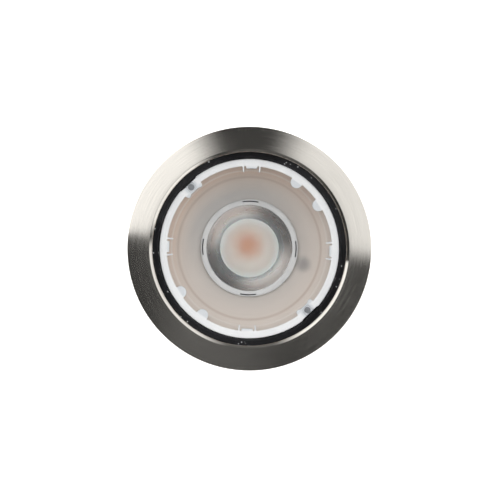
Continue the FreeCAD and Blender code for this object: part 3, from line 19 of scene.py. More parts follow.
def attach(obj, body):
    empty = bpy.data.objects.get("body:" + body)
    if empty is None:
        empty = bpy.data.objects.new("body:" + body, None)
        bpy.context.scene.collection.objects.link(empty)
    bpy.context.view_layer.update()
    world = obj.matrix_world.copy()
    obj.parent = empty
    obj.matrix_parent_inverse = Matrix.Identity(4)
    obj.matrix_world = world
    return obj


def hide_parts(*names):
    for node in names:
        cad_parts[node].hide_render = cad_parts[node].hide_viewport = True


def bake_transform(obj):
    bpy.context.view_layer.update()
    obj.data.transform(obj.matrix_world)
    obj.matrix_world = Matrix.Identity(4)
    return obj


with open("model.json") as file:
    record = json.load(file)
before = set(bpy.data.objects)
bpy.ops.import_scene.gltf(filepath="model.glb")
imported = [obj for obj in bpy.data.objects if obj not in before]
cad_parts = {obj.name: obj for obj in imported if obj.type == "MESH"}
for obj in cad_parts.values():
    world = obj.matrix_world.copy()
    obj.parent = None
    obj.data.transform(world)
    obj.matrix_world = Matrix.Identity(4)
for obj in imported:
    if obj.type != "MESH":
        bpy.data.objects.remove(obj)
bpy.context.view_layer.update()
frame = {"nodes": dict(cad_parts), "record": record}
BODY_OF = {node: body for body, nodes in frame["record"]["behaviour"]["bodies"].items()
           for node in nodes}
SLOT_OF = {row["node"]: row["material_slot"] for row in frame["record"]["subparts"]}
print("pieces in the solid model:", len(frame["nodes"]))

# %% [markdown]
# ## From numbers to a mesh
#
# Nearly every piece here is turned on a lathe or wound, so a surface is a grid: one direction
# runs along a profile, the other round the axis. Numpy works the whole grid out at once and
# one helper turns it into a mesh. Points that fall together, as where a dome closes on its
# axis, are merged, and the normals are then made to point outwards.

# %% Grid to mesh
MM = 0.001
SAME_POINT = 2e-7  # metres


def grid_faces(rows, columns, first, closed_rows):
    """Four corners of every grid cell. The columns run round and meet again; closed rows
    join the last row to the first."""
    index = first + np.arange(rows * columns).reshape(rows, columns)
    if closed_rows:
        index = np.vstack([index, index[:1]])
    index = np.hstack([index, index[:, :1]])
    return np.stack([index[:-1, :-1], index[1:, :-1], index[1:, 1:], index[:-1, 1:]],
                    axis=-1).reshape(-1, 4)


def merged(mesh):
    """Merge points that coincide and turn every face outwards."""
    work = bmesh.new()
    work.from_mesh(mesh)
    bmesh.ops.remove_doubles(work, verts=work.verts, dist=SAME_POINT)
    bmesh.ops.recalc_face_normals(work, faces=work.faces)
    work.to_mesh(mesh)
    work.free()


def add_object(name, data):
    """Put a mesh, a lamp or a camera in the scene."""
    thing = bpy.data.objects.new(name, data)
    bpy.context.scene.collection.objects.link(thing)
    return thing


def add_piece(name, mesh, node, crease, replaced=True):
    """Shade a mesh smooth between creases. It has the finish and the body of a solid piece,
    and stands in for it unless replaced is False."""
    mesh.shade_smooth()
    mesh.set_sharp_from_angle(angle=math.radians(crease))
    mesh.materials.clear()
    mesh.materials.append(FINISHES[SLOT_OF[node]])
    piece = add_object(name, mesh)
    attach(piece, BODY_OF[node])
    if replaced:
        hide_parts(node)
    print(f"{name}: {len(mesh.vertices)} points")
    return piece


def from_grids(name, grids, node, crease=32.0, closed_rows=True, replaced=True):
    """One piece from several grids of points (rows, columns, 3) in millimetres."""
    faces, points, first = [], [], 0
    for grid in grids:
        rows, columns = grid.shape[:2]
        faces.append(grid_faces(rows, columns, first, closed_rows))
        points.append(grid.reshape(-1, 3))
        first += rows * columns
    mesh = bpy.data.meshes.new(name)
    mesh.from_pydata((np.vstack(points) * MM).tolist(), [], np.vstack(faces).tolist())
    merged(mesh)
    return add_piece(name, mesh, node, crease, replaced)


# %% Profiles and turning
def softened(corners, reach=0.3, steps=4):
    """Round a closed profile: each corner becomes the curve (1-t)^2 A + 2t(1-t) P + t^2 B,
    where A and B lie on its two sides, reach away from the corner P, or just short of half
    a side if that is less."""
    corner = np.array(corners, float)
    before, after = np.roll(corner, 1, axis=0) - corner, np.roll(corner, -1, axis=0) - corner
    length_before = np.linalg.norm(before, axis=1, keepdims=True)
    length_after = np.linalg.norm(after, axis=1, keepdims=True)
    wanted = np.broadcast_to(np.asarray(reach, float).reshape(-1, 1), (len(corner), 1))
    near = np.minimum(wanted, 0.45 * np.minimum(length_before, length_after))
    start = corner + before / length_before * near
    end = corner + after / length_after * near
    t = np.linspace(0.0, 1.0, steps).reshape(1, -1, 1)
    curve = ((1 - t) ** 2 * start[:, None] + 2 * t * (1 - t) * corner[:, None]
             + t ** 2 * end[:, None])
    return curve.reshape(-1, 2)


def arc(start, end, radius, leftward, steps):
    """Points on the short arc from start to end; its centre lies off the chord's middle by
    the height that Pythagoras gives."""
    start, end = np.array(start, float), np.array(end, float)
    chord = end - start
    length = np.linalg.norm(chord)
    height = math.sqrt(max(radius ** 2 - length ** 2 / 4, 0.0)) * (1 if leftward else -1)
    centre = (start + end) / 2 + np.array([-chord[1], chord[0]]) / length * height
    first, last = start - centre, end - centre
    sweep = math.atan2(first[0] * last[1] - first[1] * last[0], first @ last)
    angle = np.linspace(0.0, sweep, steps)
    turn = math.atan2(first[1], first[0]) + angle
    return centre + radius * np.stack([np.cos(turn), np.sin(turn)], axis=-1)


def full_turn(steps):
    """Angles that share out a whole turn."""
    return np.linspace(0.0, 2 * math.pi, steps, endpoint=False)


def polar(radius, around, height):
    """Points at x = r cos a, y = r sin a and a height; each may be a number or a grid."""
    east = radius * np.cos(around)
    return np.stack([east, radius * np.sin(around), height + 0 * east], axis=-1)


def turned(profile, steps=240):
    """Lathe: every profile point (r, z) runs round the axis."""
    return polar(profile[:, :1], full_turn(steps), profile[:, 1:])


print("profile helpers ready")

# %% [markdown]
# ## Finishes
#
# Each finish is a procedural material. Four effects are built as node groups: a fine mottling
# for castings, plastics and rubber, the circular marks that a lathe leaves, light specks, and
# the wear of edges. The groups only give values; the shader that uses them stays in each
# material, where its own numbers can be read. Lengths in materials are metres.

# %% Node helpers
def linear(red, green, blue):
    """A colour as an image editor shows it (0 to 255), as the linear light that it stands for."""
    share = np.array([red, green, blue]) / 255.0
    light = np.where(share <= 0.04045, share / 12.92, ((share + 0.055) / 1.055) ** 2.4)
    return (*light.tolist(), 1.0)


def link(tree, given, socket):
    """Join an output to an input, or set the input to a number or a colour of 0 to 255."""
    if isinstance(given, tuple):
        socket.default_value = linear(*given)
    elif isinstance(given, (int, float)):
        socket.default_value = given
    else:
        tree.links.new(given, socket)


def math_node(tree, operation, first, second=None, clamp=False):
    """One step of arithmetic; each value is a number or another node's output."""
    node = tree.nodes.new("ShaderNodeMath")
    node.operation = operation
    node.use_clamp = clamp
    link(tree, first, node.inputs[0])
    if second is not None:
        link(tree, second, node.inputs[1])
    return node.outputs[0]


def times(tree, first, second):
    """The first value times the second."""
    return math_node(tree, "MULTIPLY", first, second)


def plus(tree, first, second):
    """The first value plus the second."""
    return math_node(tree, "ADD", first, second)


def minus(tree, first, second):
    """The first value minus the second."""
    return math_node(tree, "SUBTRACT", first, second)


def ramp(tree, value, low, high, to_low=0.0, to_high=1.0, smooth=True):
    """Map values from low..high to to_low..to_high, with a soft start and end."""
    node = tree.nodes.new("ShaderNodeMapRange")
    node.interpolation_type = "SMOOTHSTEP" if smooth else "LINEAR"
    for name, number in (("From Min", low), ("From Max", high),
                         ("To Min", to_low), ("To Max", to_high)):
        node.inputs[name].default_value = number
    link(tree, value, node.inputs["Value"])
    return node.outputs["Result"]


def new_group(name, inputs, outputs):
    """An empty node group with number inputs (name, default) and the named outputs."""
    tree = bpy.data.node_groups.new(name, "ShaderNodeTree")
    for label, default in inputs:
        socket = tree.interface.new_socket(label, in_out="INPUT", socket_type="NodeSocketFloat")
        socket.default_value = default
    for label in outputs:
        tree.interface.new_socket(label, in_out="OUTPUT", socket_type="NodeSocketFloat")
    return (tree, tree.nodes.new("NodeGroupInput").outputs,
            tree.nodes.new("NodeGroupOutput").inputs)


def noise(tree, vector, scale, detail=2.0, roughness=0.5):
    """A soft random value over space; scale is a number or an output."""
    node = tree.nodes.new("ShaderNodeTexNoise")
    node.inputs["Detail"].default_value = detail
    node.inputs["Roughness"].default_value = roughness
    link(tree, scale, node.inputs["Scale"])
    link(tree, vector, node.inputs["Vector"])
    return node.outputs["Fac"]


def place(tree):
    """The point on the piece, in metres in the lamp's own frame."""
    return tree.nodes.new("ShaderNodeTexCoord").outputs["Object"]


def from_axis(tree, east_of=0.0, north_of=0.0):
    """Distance from an upright line, the root of x^2 + y^2, and the point's x, y and z."""
    split = tree.nodes.new("ShaderNodeSeparateXYZ")
    link(tree, place(tree), split.inputs[0])
    east, north, up = split.outputs
    square = [math_node(tree, "POWER", math_node(tree, "ABSOLUTE", minus(tree, value, middle)),
                        2.0) for value, middle in ((east, east_of), (north, north_of))]
    return math_node(tree, "SQRT", plus(tree, *square)), east, north, up


def toward(tree, radius, east, north):
    """The heading as x / r and y / r, kept finite on the axis."""
    safe = math_node(tree, "MAXIMUM", radius, 0.0001)
    return [math_node(tree, "DIVIDE", value, safe) for value in (east, north)]


def band(tree, value, middle, width, strength=0.6):
    """The strength at the middle, falling to nothing at the width on both sides of it."""
    off = math_node(tree, "ABSOLUTE", minus(tree, value, middle))
    return ramp(tree, off, 0.0, width, strength, 0.0)


# %% [markdown]
# ### Mottling
#
# Powder coat, moulded plastic and rubber are never quite even. Two sizes of noise give a broad
# change of tone and a fine grain that a bump can use.

# %% Mottling group
tree, given, result = new_group(
    "mottling", [("Grain size", 900.0), ("Patch size", 60.0)], ["Tone", "Height"])
spot = place(tree)
fine = noise(tree, spot, given["Grain size"], 3.0, 0.6)
broad = noise(tree, spot, given["Patch size"])
both = plus(tree, times(tree, fine, 0.35), times(tree, broad, 0.65))
link(tree, ramp(tree, both, 0.3, 0.7), result["Tone"])
link(tree, fine, result["Height"])
MOTTLING = tree
print("group:", tree.name)

# %% [markdown]
# ### Turning marks
#
# A lathe or a brushing wheel leaves rings round the axis. Noise that is read at the distance
# from the axis, and stretched a little along the ring, gives lines that start and stop.

# %% Turning marks group
tree, given, result = new_group(
    "turning marks", [("Lines per metre", 2600.0), ("Length", 0.5)], ["Tone", "Height"])
radius, east, north, up = from_axis(tree)
along = tree.nodes.new("ShaderNodeCombineXYZ")
depth = plus(tree, radius, times(tree, up, 0.7))
link(tree, times(tree, depth, given["Lines per metre"]), along.inputs[0])
for side, share in zip((1, 2), toward(tree, radius, east, north)):
    link(tree, math_node(tree, "DIVIDE", share, given["Length"]), along.inputs[side])
lines = noise(tree, along.outputs[0], 1.0, 2.0, 0.7)
link(tree, ramp(tree, lines, 0.25, 0.75), result["Tone"])
link(tree, lines, result["Height"])
TURNING = tree
print("group:", tree.name)

# %% [markdown]
# ### Light specks
#
# A few light specks lie on the black seal in the photograph. Cells of a Voronoi pattern are
# dots when only the points close to a cell's centre count, and a second noise keeps few.

# %% Light specks group
tree, given, result = new_group("light_specks", [("Cells per metre", 420.0), ("Speck size", 0.17),
                                         ("Amount", 0.57)], ["Speck"])
cells = tree.nodes.new("ShaderNodeTexVoronoi")
link(tree, place(tree), cells.inputs["Vector"])
link(tree, given["Cells per metre"], cells.inputs["Scale"])
close = math_node(tree, "LESS_THAN", cells.outputs["Distance"], given["Speck size"])
chosen = math_node(tree, "GREATER_THAN", noise(tree, place(tree), 160.0, 1.0),
                   given["Amount"])
link(tree, times(tree, close, chosen), result["Speck"])
SPECKS = tree
print("group:", tree.name)

# %% [markdown]
# ### Edge wear
#
# Corners that are handled lose their coat first. The bevel node gives the normal that a
# rounded edge would have, so it differs from the true normal only near edges, however coarse
# the mesh. One minus their dot product is the mask, and a noise breaks the worn line up.

# %% Edge wear group
tree, given, result = new_group(
    "edge wear", [("Width", 0.0004), ("Gain", 9.0), ("Patch size", 260.0)], ["Worn"])
rounded = tree.nodes.new("ShaderNodeBevel")
rounded.samples = 4
link(tree, given["Width"], rounded.inputs["Radius"])
agree = tree.nodes.new("ShaderNodeVectorMath")
agree.operation = "DOT_PRODUCT"
link(tree, rounded.outputs["Normal"], agree.inputs[0])
link(tree, tree.nodes.new("ShaderNodeNewGeometry").outputs["Normal"], agree.inputs[1])
near_edge = math_node(tree, "MULTIPLY", minus(tree, 1.0, agree.outputs["Value"]),
                      given["Gain"], clamp=True)
broken = ramp(tree, noise(tree, place(tree), given["Patch size"], 3.0),
              0.4, 0.62)
link(tree, times(tree, near_edge, broken), result["Worn"])
EDGE_WEAR = tree
print("group:", tree.name)

# %% [markdown]
# ### A maker of finishes
#
# Most finishes differ only in colour, gloss and grain: two tones mixed by a group's Tone, a
# roughness that follows the same value, and a bump from its Height. Values that are the same
# all over the piece are written on the shader's own sockets.

# %% Finish maker
FINISHES = {}


def new_finish(name, settings):
    """A material with its shader, whose plain sockets are set from the settings."""
    material = bpy.data.materials.new(name)
    material.use_nodes = True
    tree = material.node_tree
    shader = tree.nodes["Principled BSDF"]
    for socket, number in settings.items():
        shader.inputs[socket].default_value = number
    FINISHES[name] = material
    return tree, shader


def place_group(tree, group, *numbers):
    """Put a node group in a material; the numbers go to its inputs in their order."""
    node = tree.nodes.new("ShaderNodeGroup")
    node.node_tree = group
    for socket, number in zip(node.inputs, numbers):
        socket.default_value = number
    return node


def mix_colours(tree, factor, first, second):
    """Blend two colours by a factor; a colour is three numbers or an output."""
    node = tree.nodes.new("ShaderNodeMix")
    node.data_type = "RGBA"
    link(tree, factor, node.inputs["Factor"])
    for label, colour in (("A", first), ("B", second)):
        link(tree, colour, [s for s in node.inputs if s.name == label and s.type == "RGBA"][0])
    return [s for s in node.outputs if s.type == "RGBA"][0]


def recolour(tree, shader, factor, colour):
    """Lay a colour over the shader's base colour as far as the factor says."""
    base = shader.inputs["Base Color"]
    link(tree, mix_colours(tree, factor, base.links[0].from_socket, colour), base)


def bump(tree, shader, height, strength, distance):
    """Let a height tilt the shading; distance is the height's full scale in metres."""
    node = tree.nodes.new("ShaderNodeBump")
    node.inputs["Strength"].default_value = strength
    node.inputs["Distance"].default_value = distance
    link(tree, height, node.inputs["Height"])
    link(tree, node.outputs["Normal"], shader.inputs["Normal"])


def grained(name, low, high, gloss, group=MOTTLING, relief=(0.3, 0.00004), sizes=(),
            worn=None, **settings):
    """Two tones and a roughness range, mixed by a group's Tone, with a bump from its Height
    and a third colour on worn edges."""
    tree, shader = new_finish(name, settings)
    node = place_group(tree, group, *sizes)
    tone = node.outputs["Tone"]
    colour = mix_colours(tree, tone, low, high)
    if worn:
        colour = mix_colours(tree, place_group(tree, EDGE_WEAR).outputs["Worn"], colour, worn)
    link(tree, colour, shader.inputs["Base Color"])
    link(tree, ramp(tree, tone, 0.0, 1.0, gloss[0], gloss[1], False), shader.inputs["Roughness"])
    bump(tree, shader, node.outputs["Height"], *relief)
    return tree, shader


# %% [markdown]
# ### Metals
#
# The trim is stainless steel brushed round its axis. Brushing spreads a reflection across the
# lines and not along them, which is what anisotropy does. The tangent runs round the axis, and
# a quarter turn of the anisotropy points it outwards, across the lines. The chamfer inside it
# is polished, so the roughness falls where the radius is that of the chamfer.

# %% Brushed trim
tree, shader = new_finish("brushed_trim", {
    "Metallic": 1.0, "Anisotropic": 0.95, "Anisotropic Rotation": 0.25})
marks = place_group(tree, TURNING, 5200.0, 0.35)
tone = marks.outputs["Tone"]
link(tree, mix_colours(tree, tone, (205, 201, 194), (226, 222, 215)), shader.inputs["Base Color"])
radius, east, north, up = from_axis(tree)
polished = times(tree, ramp(tree, radius, 0.0613, 0.0609), ramp(tree, up, -0.0035, -0.0042))
rough = ramp(tree, tone, 0.0, 1.0, 0.17, 0.24, False)
link(tree, minus(tree, rough, times(tree, polished, 0.1)), shader.inputs["Roughness"])
bump(tree, shader, marks.outputs["Height"], 0.12, 0.00002)
tangent = tree.nodes.new("ShaderNodeTangent")
tangent.direction_type = "RADIAL"
tangent.axis = "Z"
link(tree, tangent.outputs[0], shader.inputs["Tangent"])
print("finish: brushed_trim")

# %% [markdown]
# The cone inside the collar is polished. Its colour carries a painted reflection of the room:
# two broad lighter sectors and two darker ones, a wave of twice the heading, cos 2(a - b),
# which is cos 2b (x^2 - y^2) + sin 2b 2xy for a point (x, y) at distance one. A grey band
# lies beside the dome.

# %% Other metals
tree, shader = grained("polished_cone", (240, 244, 247), (247, 249, 251),
                       (0.24, 0.32), TURNING, (0.05, 0.00002),
                       (900.0, 1.2), Metallic=1.0)
twice = 2 * math.radians(53.13)  # twice the heading b of the lighter sectors
radius, east, north = from_axis(tree)[:3]
east, north = toward(tree, radius, east, north)
difference = minus(tree, times(tree, east, east), times(tree, north, north))
wave = plus(tree, times(tree, difference, math.cos(twice)),
            times(tree, times(tree, east, north), 2 * math.sin(twice)))
# painted reflection: lighter and darker sectors round the cone
recolour(tree, shader, ramp(tree, wave, -0.9, 0.7, 1.0, 0.0), (146, 151, 156))
recolour(tree, shader, ramp(tree, radius, 0.0197, 0.0220, 0.5, 0.0), (156, 157, 158))
grained("stainless", (176, 175, 172), (204, 203, 199), (0.26, 0.38),
        sizes=(1500.0, 120.0), Metallic=1.0)
grained("spring_steel", (150, 149, 147), (182, 181, 178), (0.28, 0.42),
        sizes=(1800.0, 90.0), Metallic=1.0)
grained("black_screw", (122, 124, 128), (150, 152, 155), (0.35, 0.5), Metallic=0.3)
grained("brass_screw", (196, 158, 92), (222, 190, 120), (0.25, 0.35), Metallic=1.0)
print("metals:", len(FINISHES))

# %% [markdown]
# ### The satin bowl
#
# The bowl is an anodised spinning with a soft sheen. Its colour carries painted light: a painted
# warm reflection towards its mouth, warmest at the upper left, painted shade that makes it greyer
# towards the throat, and a painted grey reflection near the throat towards the upper left, so its
# colour follows the distance from the axis and the heading. Two narrow bands, one darker and one
# lighter, lie at two radii, and turning marks lie over everything. A soft dark mark beside the
# collar is a painted reflection.

# %% Satin reflector
tree, shader = new_finish("satin_reflector", {"Metallic": 0.08})
marks = place_group(tree, TURNING, 480.0, 2.5)
tone = marks.outputs["Tone"]
radius, east, north = from_axis(tree)[:3]
to_corner = plus(tree, times(tree, north, -1.0), times(tree, east, -0.5))
# painted reflection: warm towards the mouth, warmest at the upper left
peach = times(tree, ramp(tree, radius, 0.04, 0.05), ramp(tree, to_corner, -0.03, 0.05))
# painted shade: greyer towards the throat
throat = ramp(tree, radius, 0.033, 0.049, 1.0, 0.0, False)
# painted reflection: grey near the throat towards the upper left
grey = times(tree, ramp(tree, radius, 0.034, 0.044, 1.0, 0.0),
             ramp(tree, to_corner, 0.0, 0.04))
# painted reflection: a soft dark patch beside the collar
painted_dark_reflection = ramp(tree, from_axis(tree, 0.0342, 0.0102)[0], 0.0014, 0.0072, 0.8, 0.0)
satin = (232, 223, 215)
for factor, colour in ((peach, (229, 207, 191)), (throat, (188, 183, 178)),
                       (grey, (187, 186, 184)), (painted_dark_reflection, (134, 133, 134)),
                       (band(tree, radius, 0.0453, 0.0012), (190, 172, 160)),
                       (band(tree, radius, 0.0489, 0.0007), (248, 243, 238)),
                       (times(tree, tone, 0.3), (206, 199, 192))):
    satin = mix_colours(tree, factor, satin, colour)
link(tree, satin, shader.inputs["Base Color"])
link(tree, ramp(tree, tone, 0.0, 1.0, 0.36, 0.44, False), shader.inputs["Roughness"])
bump(tree, shader, marks.outputs["Height"], 0.1, 0.0001)
print("finish: satin_reflector")

# %% [markdown]
# ### Plastics, rubbers and coatings
#
# These are plain finishes with their own grain: a powder coat has a fine orange-peel, glass
# filled nylon is a little rough, silicone is smooth and dull, foam has open pores. The white
# ring's tabs and lugs are thin and let light through, and they carry a painted shade that makes
# them greyer than its rim. The collar's slot floors carry a painted shade, near black, for the
# dark behind the slots.

# %% Plain finishes
SLIGHT = (0.1, 0.00002)
tree, shader = grained("white_moulding", (228, 229, 230), (237, 238, 238),
                       (0.34, 0.42), relief=SLIGHT)
thin = ramp(tree, from_axis(tree)[0], 0.0499, 0.0513, 1.0, 0.0)
for side in (-1, 1):
    off = from_axis(tree, side * 0.0359, side * 0.0380)[0]
    thin = math_node(tree, "MAXIMUM", thin, ramp(tree, off, 0.0034, 0.005, 1.0, 0.0))
# painted shade: the thin tabs and lugs greyer than the rim
recolour(tree, shader, times(tree, thin, 0.8), (201, 205, 209))
tree, shader = grained("pale_collar", (187, 189, 190), (200, 201, 201),
                       (0.36, 0.44), relief=SLIGHT)
radius, east, north, up = from_axis(tree)
across = times(tree, ramp(tree, radius, 0.0296, 0.0298),
               ramp(tree, radius, 0.0305, 0.0307, 1.0, 0.0))
# painted shade: the slot floors near black for the dark behind the slots
recolour(tree, shader, times(tree, ramp(tree, up, 0.0363, 0.0367), across), (38, 40, 43))
grained("white_board", (216, 217, 214), (228, 229, 226), (0.3, 0.4))
grained("warm_emitter", (226, 160, 78), (240, 184, 96), (0.25, 0.35))
grained("thermal_grey", (110, 113, 118), (126, 129, 133), (0.7, 0.8))
grained("black_casting", (30, 30, 32), (40, 40, 42), (0.42, 0.52),
        worn=(84, 84, 86), relief=(0.35, 0.00006),
        sizes=(1400.0, 70.0))
grained("black_nylon", (24, 24, 26), (35, 35, 37), (0.38, 0.5),
        worn=(62, 62, 64), sizes=(2200.0, 110.0))
grained("black_rubber", (22, 22, 23), (34, 34, 35), (0.6, 0.75), sizes=(1700.0, 90.0))
grained("grey_foam", (44, 44, 46), (70, 70, 72), (0.85, 0.95),
        relief=(0.9, 0.0003), sizes=(2600.0, 300.0))
grained("white_ceramic", (222, 219, 210), (234, 231, 224), (0.3, 0.4))
tree, shader = grained("black_silicone", (14, 14, 16), (25, 25, 28), (0.5, 0.6),
                       relief=SLIGHT, **{"Specular IOR Level": 0.15})
recolour(tree, shader, place_group(tree, SPECKS).outputs["Speck"], (205, 207, 208))
print("finishes:", len(FINISHES))

# %% [markdown]
# ### The leads
#
# Two leads share one solid, a red one at +X and a black one at -X, so the colour changes where
# X changes its sign.

# %% Lead colours
tree, shader = new_finish("red_black_lead", {"Roughness": 0.4})
east = from_axis(tree)[1]
tone = place_group(tree, MOTTLING).outputs["Tone"]
red = mix_colours(tree, tone, (150, 24, 20), (176, 34, 28))
link(tree, mix_colours(tree, math_node(tree, "GREATER_THAN", east, 0.0),
                       (28, 28, 30), red), shader.inputs["Base Color"])
print("finish: red_black_lead")

# %% [markdown]
# ### Frosted dome and clear glass
#
# The dome scatters light, and the warm emitter behind it shows as a blurred blob in its
# middle, so its colour runs from peach at the axis to a greyish white. The pane is real glass
# for what the camera sees through it. For light that only passes through on its way to a
# matt surface a clear shader does the same with far less noise.

# %% Frosted dome
tree, shader = new_finish("frosted_dome", {"Roughness": 0.38, "Subsurface Weight": 0.15,
                                           "Subsurface Scale": 0.004})
blur = from_axis(tree, -0.001, -0.002)[0]
wobble = times(tree, minus(tree, noise(tree, place(tree), 110.0, 1.0), 0.5), 0.004)
middle = ramp(tree, plus(tree, blur, wobble), 0.001, 0.0148)
link(tree, mix_colours(tree, middle, (184, 143, 121), (204, 199, 192)),
     shader.inputs["Base Color"])
recolour(tree, shader, ramp(tree, from_axis(tree)[0], 0.0145, 0.0185), (218, 219, 216))
grain = place_group(tree, MOTTLING, 2400.0)
bump(tree, shader, grain.outputs["Height"], *SLIGHT)
print("finish: frosted_dome")

# %% Clear glass
def show_either(tree, factor, first, second):
    """Let the factor choose between two shaders, and put the choice out as the surface."""
    choice = tree.nodes.new("ShaderNodeMixShader")
    for given, socket in zip((factor, first.outputs[0], second.outputs[0]), choice.inputs):
        link(tree, given, socket)
    link(tree, choice.outputs[0], tree.nodes["Material Output"].inputs["Surface"])


tree, shader = new_finish("clear_glass", {
    "Base Color": linear(253, 253, 253), "Roughness": 0.0, "IOR": 1.5,
    "Transmission Weight": 1.0})
rays = tree.nodes.new("ShaderNodeLightPath")
seen = math_node(tree, "MAXIMUM", rays.outputs["Is Camera Ray"],
                 rays.outputs["Is Transmission Ray"])
clear = tree.nodes.new("ShaderNodeBsdfTransparent")
clear.inputs["Color"].default_value = (0.97, 0.97, 0.97, 1.0)
show_either(tree, seen, clear, shader)
print("finishes in all:", len(FINISHES))

# %% [markdown]
# ## The trim
#
# The trim is one turning. Its face falls from the rim to a narrow nose as a slightly crowned
# cone, a polished chamfer leads in to the glass, and a threaded skirt goes up through the
# ceiling. A rounded profile turned round the axis gives all of it at once.

# %% Trim ring
RIM, NOSE, SKIRT_BORE = 75.0, 61.1, 62.3
NOSE_LEVEL, FACE_RISE, CROWN = -6.2, 3.0, 0.22
nose_to_rim = [(NOSE + (RIM - NOSE) * t,
                NOSE_LEVEL + FACE_RISE * t - CROWN * 4 * t * (1 - t))
               for t in (0.0, 0.2, 0.4, 0.6, 0.8, 1.0)]
trim_corners = ([(59.4, -4.0), (59.4, -4.55)] + nose_to_rim
                + [(RIM, -2.0), (66.0, -2.0), (66.0, 13.0), (SKIRT_BORE, 13.0),
                   (SKIRT_BORE, -4.0)])
trim_reach = [0.1, 0.15, 0.12] + [0.35] * 4 + [0.6, 0.25, 0.3, 0.4, 0.4, 0.1]
from_grids("trim_bezel_turned", [turned(softened(trim_corners, trim_reach), 360)],
           "trim_bezel", crease=40.0)


# %% [markdown]
# ## Threads
#
# The trim screws on the can. A thread is a small triangular ridge wound on a cylinder, so its
# surface has two parameters, the angle along the helix and the place on the triangle. Both
# ridges have the same pitch, so they keep their places while the trim turns and comes down.

# %% Threads of can and trim
PITCH, RIDGE_HALF, SPIGOT = 2.0, 0.55, 62.0


def thread(radius, height, bottom, top, phase):
    """Helix: z grows by the pitch in one turn; the ridge's height fades at both ends."""
    turns = (top - bottom) / PITCH
    angle = np.linspace(0.0, 2 * math.pi * turns, int(turns * 96) + 1).reshape(-1, 1)
    fade = np.clip(np.minimum(angle, angle[-1] - angle) / 1.2, 0.0, 1.0)
    section = np.array([(-RIDGE_HALF, -0.7), (0.0, 1.0), (RIDGE_HALF, -0.7)])
    level = bottom + PITCH * angle / (2 * math.pi) + section[:, 0] * fade
    reach = radius + height * np.where(section[:, 1] > 0, section[:, 1] * fade, section[:, 1])
    return polar(reach, angle + phase, level)


from_grids("spigot_thread", [thread(SPIGOT, 0.24, 3.6, 13.2, 0.0)], "lamp_housing",
           crease=50.0, closed_rows=False, replaced=False)
from_grids("skirt_thread", [thread(SKIRT_BORE, -0.2, 2.2, 12.2, 2.4 * math.pi)],
           "trim_bezel", crease=50.0, closed_rows=False, replaced=False)

# %% [markdown]
# ## Glass and its seal
#
# The pane has ground edges. A ring of points just inside them keeps the smooth shading of the
# edges off the flat faces, which would otherwise bend the view like a lens. The black seal
# behind it has a small raised bead at its inner edge, which is the slightly lighter line in the
# black ring of the photograph.

# %% Glass and seals
pane = [(0.0, -4.0), (61.1, -4.0), (61.8, -4.0), (61.8, 1.0), (61.1, 1.0), (0.0, 1.0)]
from_grids("glass_pane", [turned(softened(pane, [0.0, 0.0, 0.5, 0.5, 0.0, 0.0]))],
           "front_glass", crease=20.0)
seal = [(55.9, 1.12), (56.4, 1.02), (57.4, 1.02), (57.8, 1.15), (61.8, 1.0), (61.8, 2.6),
        (55.9, 2.6)]
from_grids("glass_seal", [turned(softened(seal, 0.25))], "glass_gasket")
foam = [(67.0, -2.0), (74.0, -2.0), (74.0, 0.0), (67.0, 0.0)]
from_grids("foam_seal", [turned(softened(foam, 0.5))], "soffit_gasket")

# %% [markdown]
# ## The white optic ring
#
# The ring's outline is drawn in polar form: its inner edge is a radius that depends on the
# angle. A straight-sided tab is the line x = X, which is r = X / cos d at the angle d from the
# tab's middle. A round lug is a circle off the axis. The smallest radius wins.

# %% Outline of the ring
CLOCKING = math.radians(1.6)
RING_BORE, RING_EDGE = 51.1, 55.5
WIDEST = 1.2  # radians from a middle, beyond which no straight edge is drawn
SCREW_TURNS = (0.25 * math.pi + CLOCKING, 1.25 * math.pi + CLOCKING)
LUG_TURNS = (0.75 * math.pi + CLOCKING, 1.75 * math.pi + CLOCKING)


def apart(angle, middle):
    """The angle from a middle, between minus and plus half a turn."""
    return (angle - middle + math.pi) % (2 * math.pi) - math.pi


def with_tab(edge, angle, middle, reach, offset, width):
    """A tab whose end is a straight line and whose sides are parallel to its middle."""
    off = apart(angle, middle)
    near = np.clip(off, -WIDEST, WIDEST)
    inside = (np.abs(reach * np.tan(near) - offset) <= width / 2) & (np.abs(off) < WIDEST)
    return np.where(inside, np.minimum(edge, reach / np.cos(near)), edge)


def with_lug(edge, angle, middle, circle, size):
    """A round lug: the near side of a circle whose centre is on another circle."""
    off = apart(angle, middle)
    under = size ** 2 - (circle * np.sin(off)) ** 2
    near = circle * np.cos(off) - np.sqrt(np.maximum(under, 0.0))
    return np.where((under > 0) & (np.cos(off) > 0), np.minimum(edge, near), edge)


angle = full_turn(1800)
inner_edge = np.full_like(angle, RING_BORE)
for quarter in range(4):
    middle = CLOCKING + quarter * math.pi / 2
    inner_edge = with_tab(inner_edge, angle, middle, 49.5, 0.0, 6.65)
    for side in (-1, 1):
        inner_edge = with_tab(inner_edge, angle, middle, 47.2, side * 4.75, 0.8)
for middle in LUG_TURNS:
    for side in (-1, 1):
        inner_edge = with_lug(inner_edge, angle, middle + side * math.radians(11.2), 50.4, 3.7)
outer_edge = np.full_like(angle, RING_EDGE)
FLAT_HALF, FLAT_DEPTH = 6.3, 0.9
for middle in SCREW_TURNS:
    inner_edge = with_tab(inner_edge, angle, middle, 49.0, 0.0, 9.0)
    for side in (-1, 1):
        inner_edge = with_lug(inner_edge, angle, middle + side * math.radians(5.4), 50.0, 1.6)
    off = apart(angle, middle)
    near_screw = np.abs(off) < math.asin(FLAT_HALF / RING_EDGE)
    outer_edge = np.where(near_screw, (RING_EDGE - FLAT_DEPTH) / np.cos(off), outer_edge)
print("inner edge from", inner_edge.min().round(2), "to", inner_edge.max().round(2))


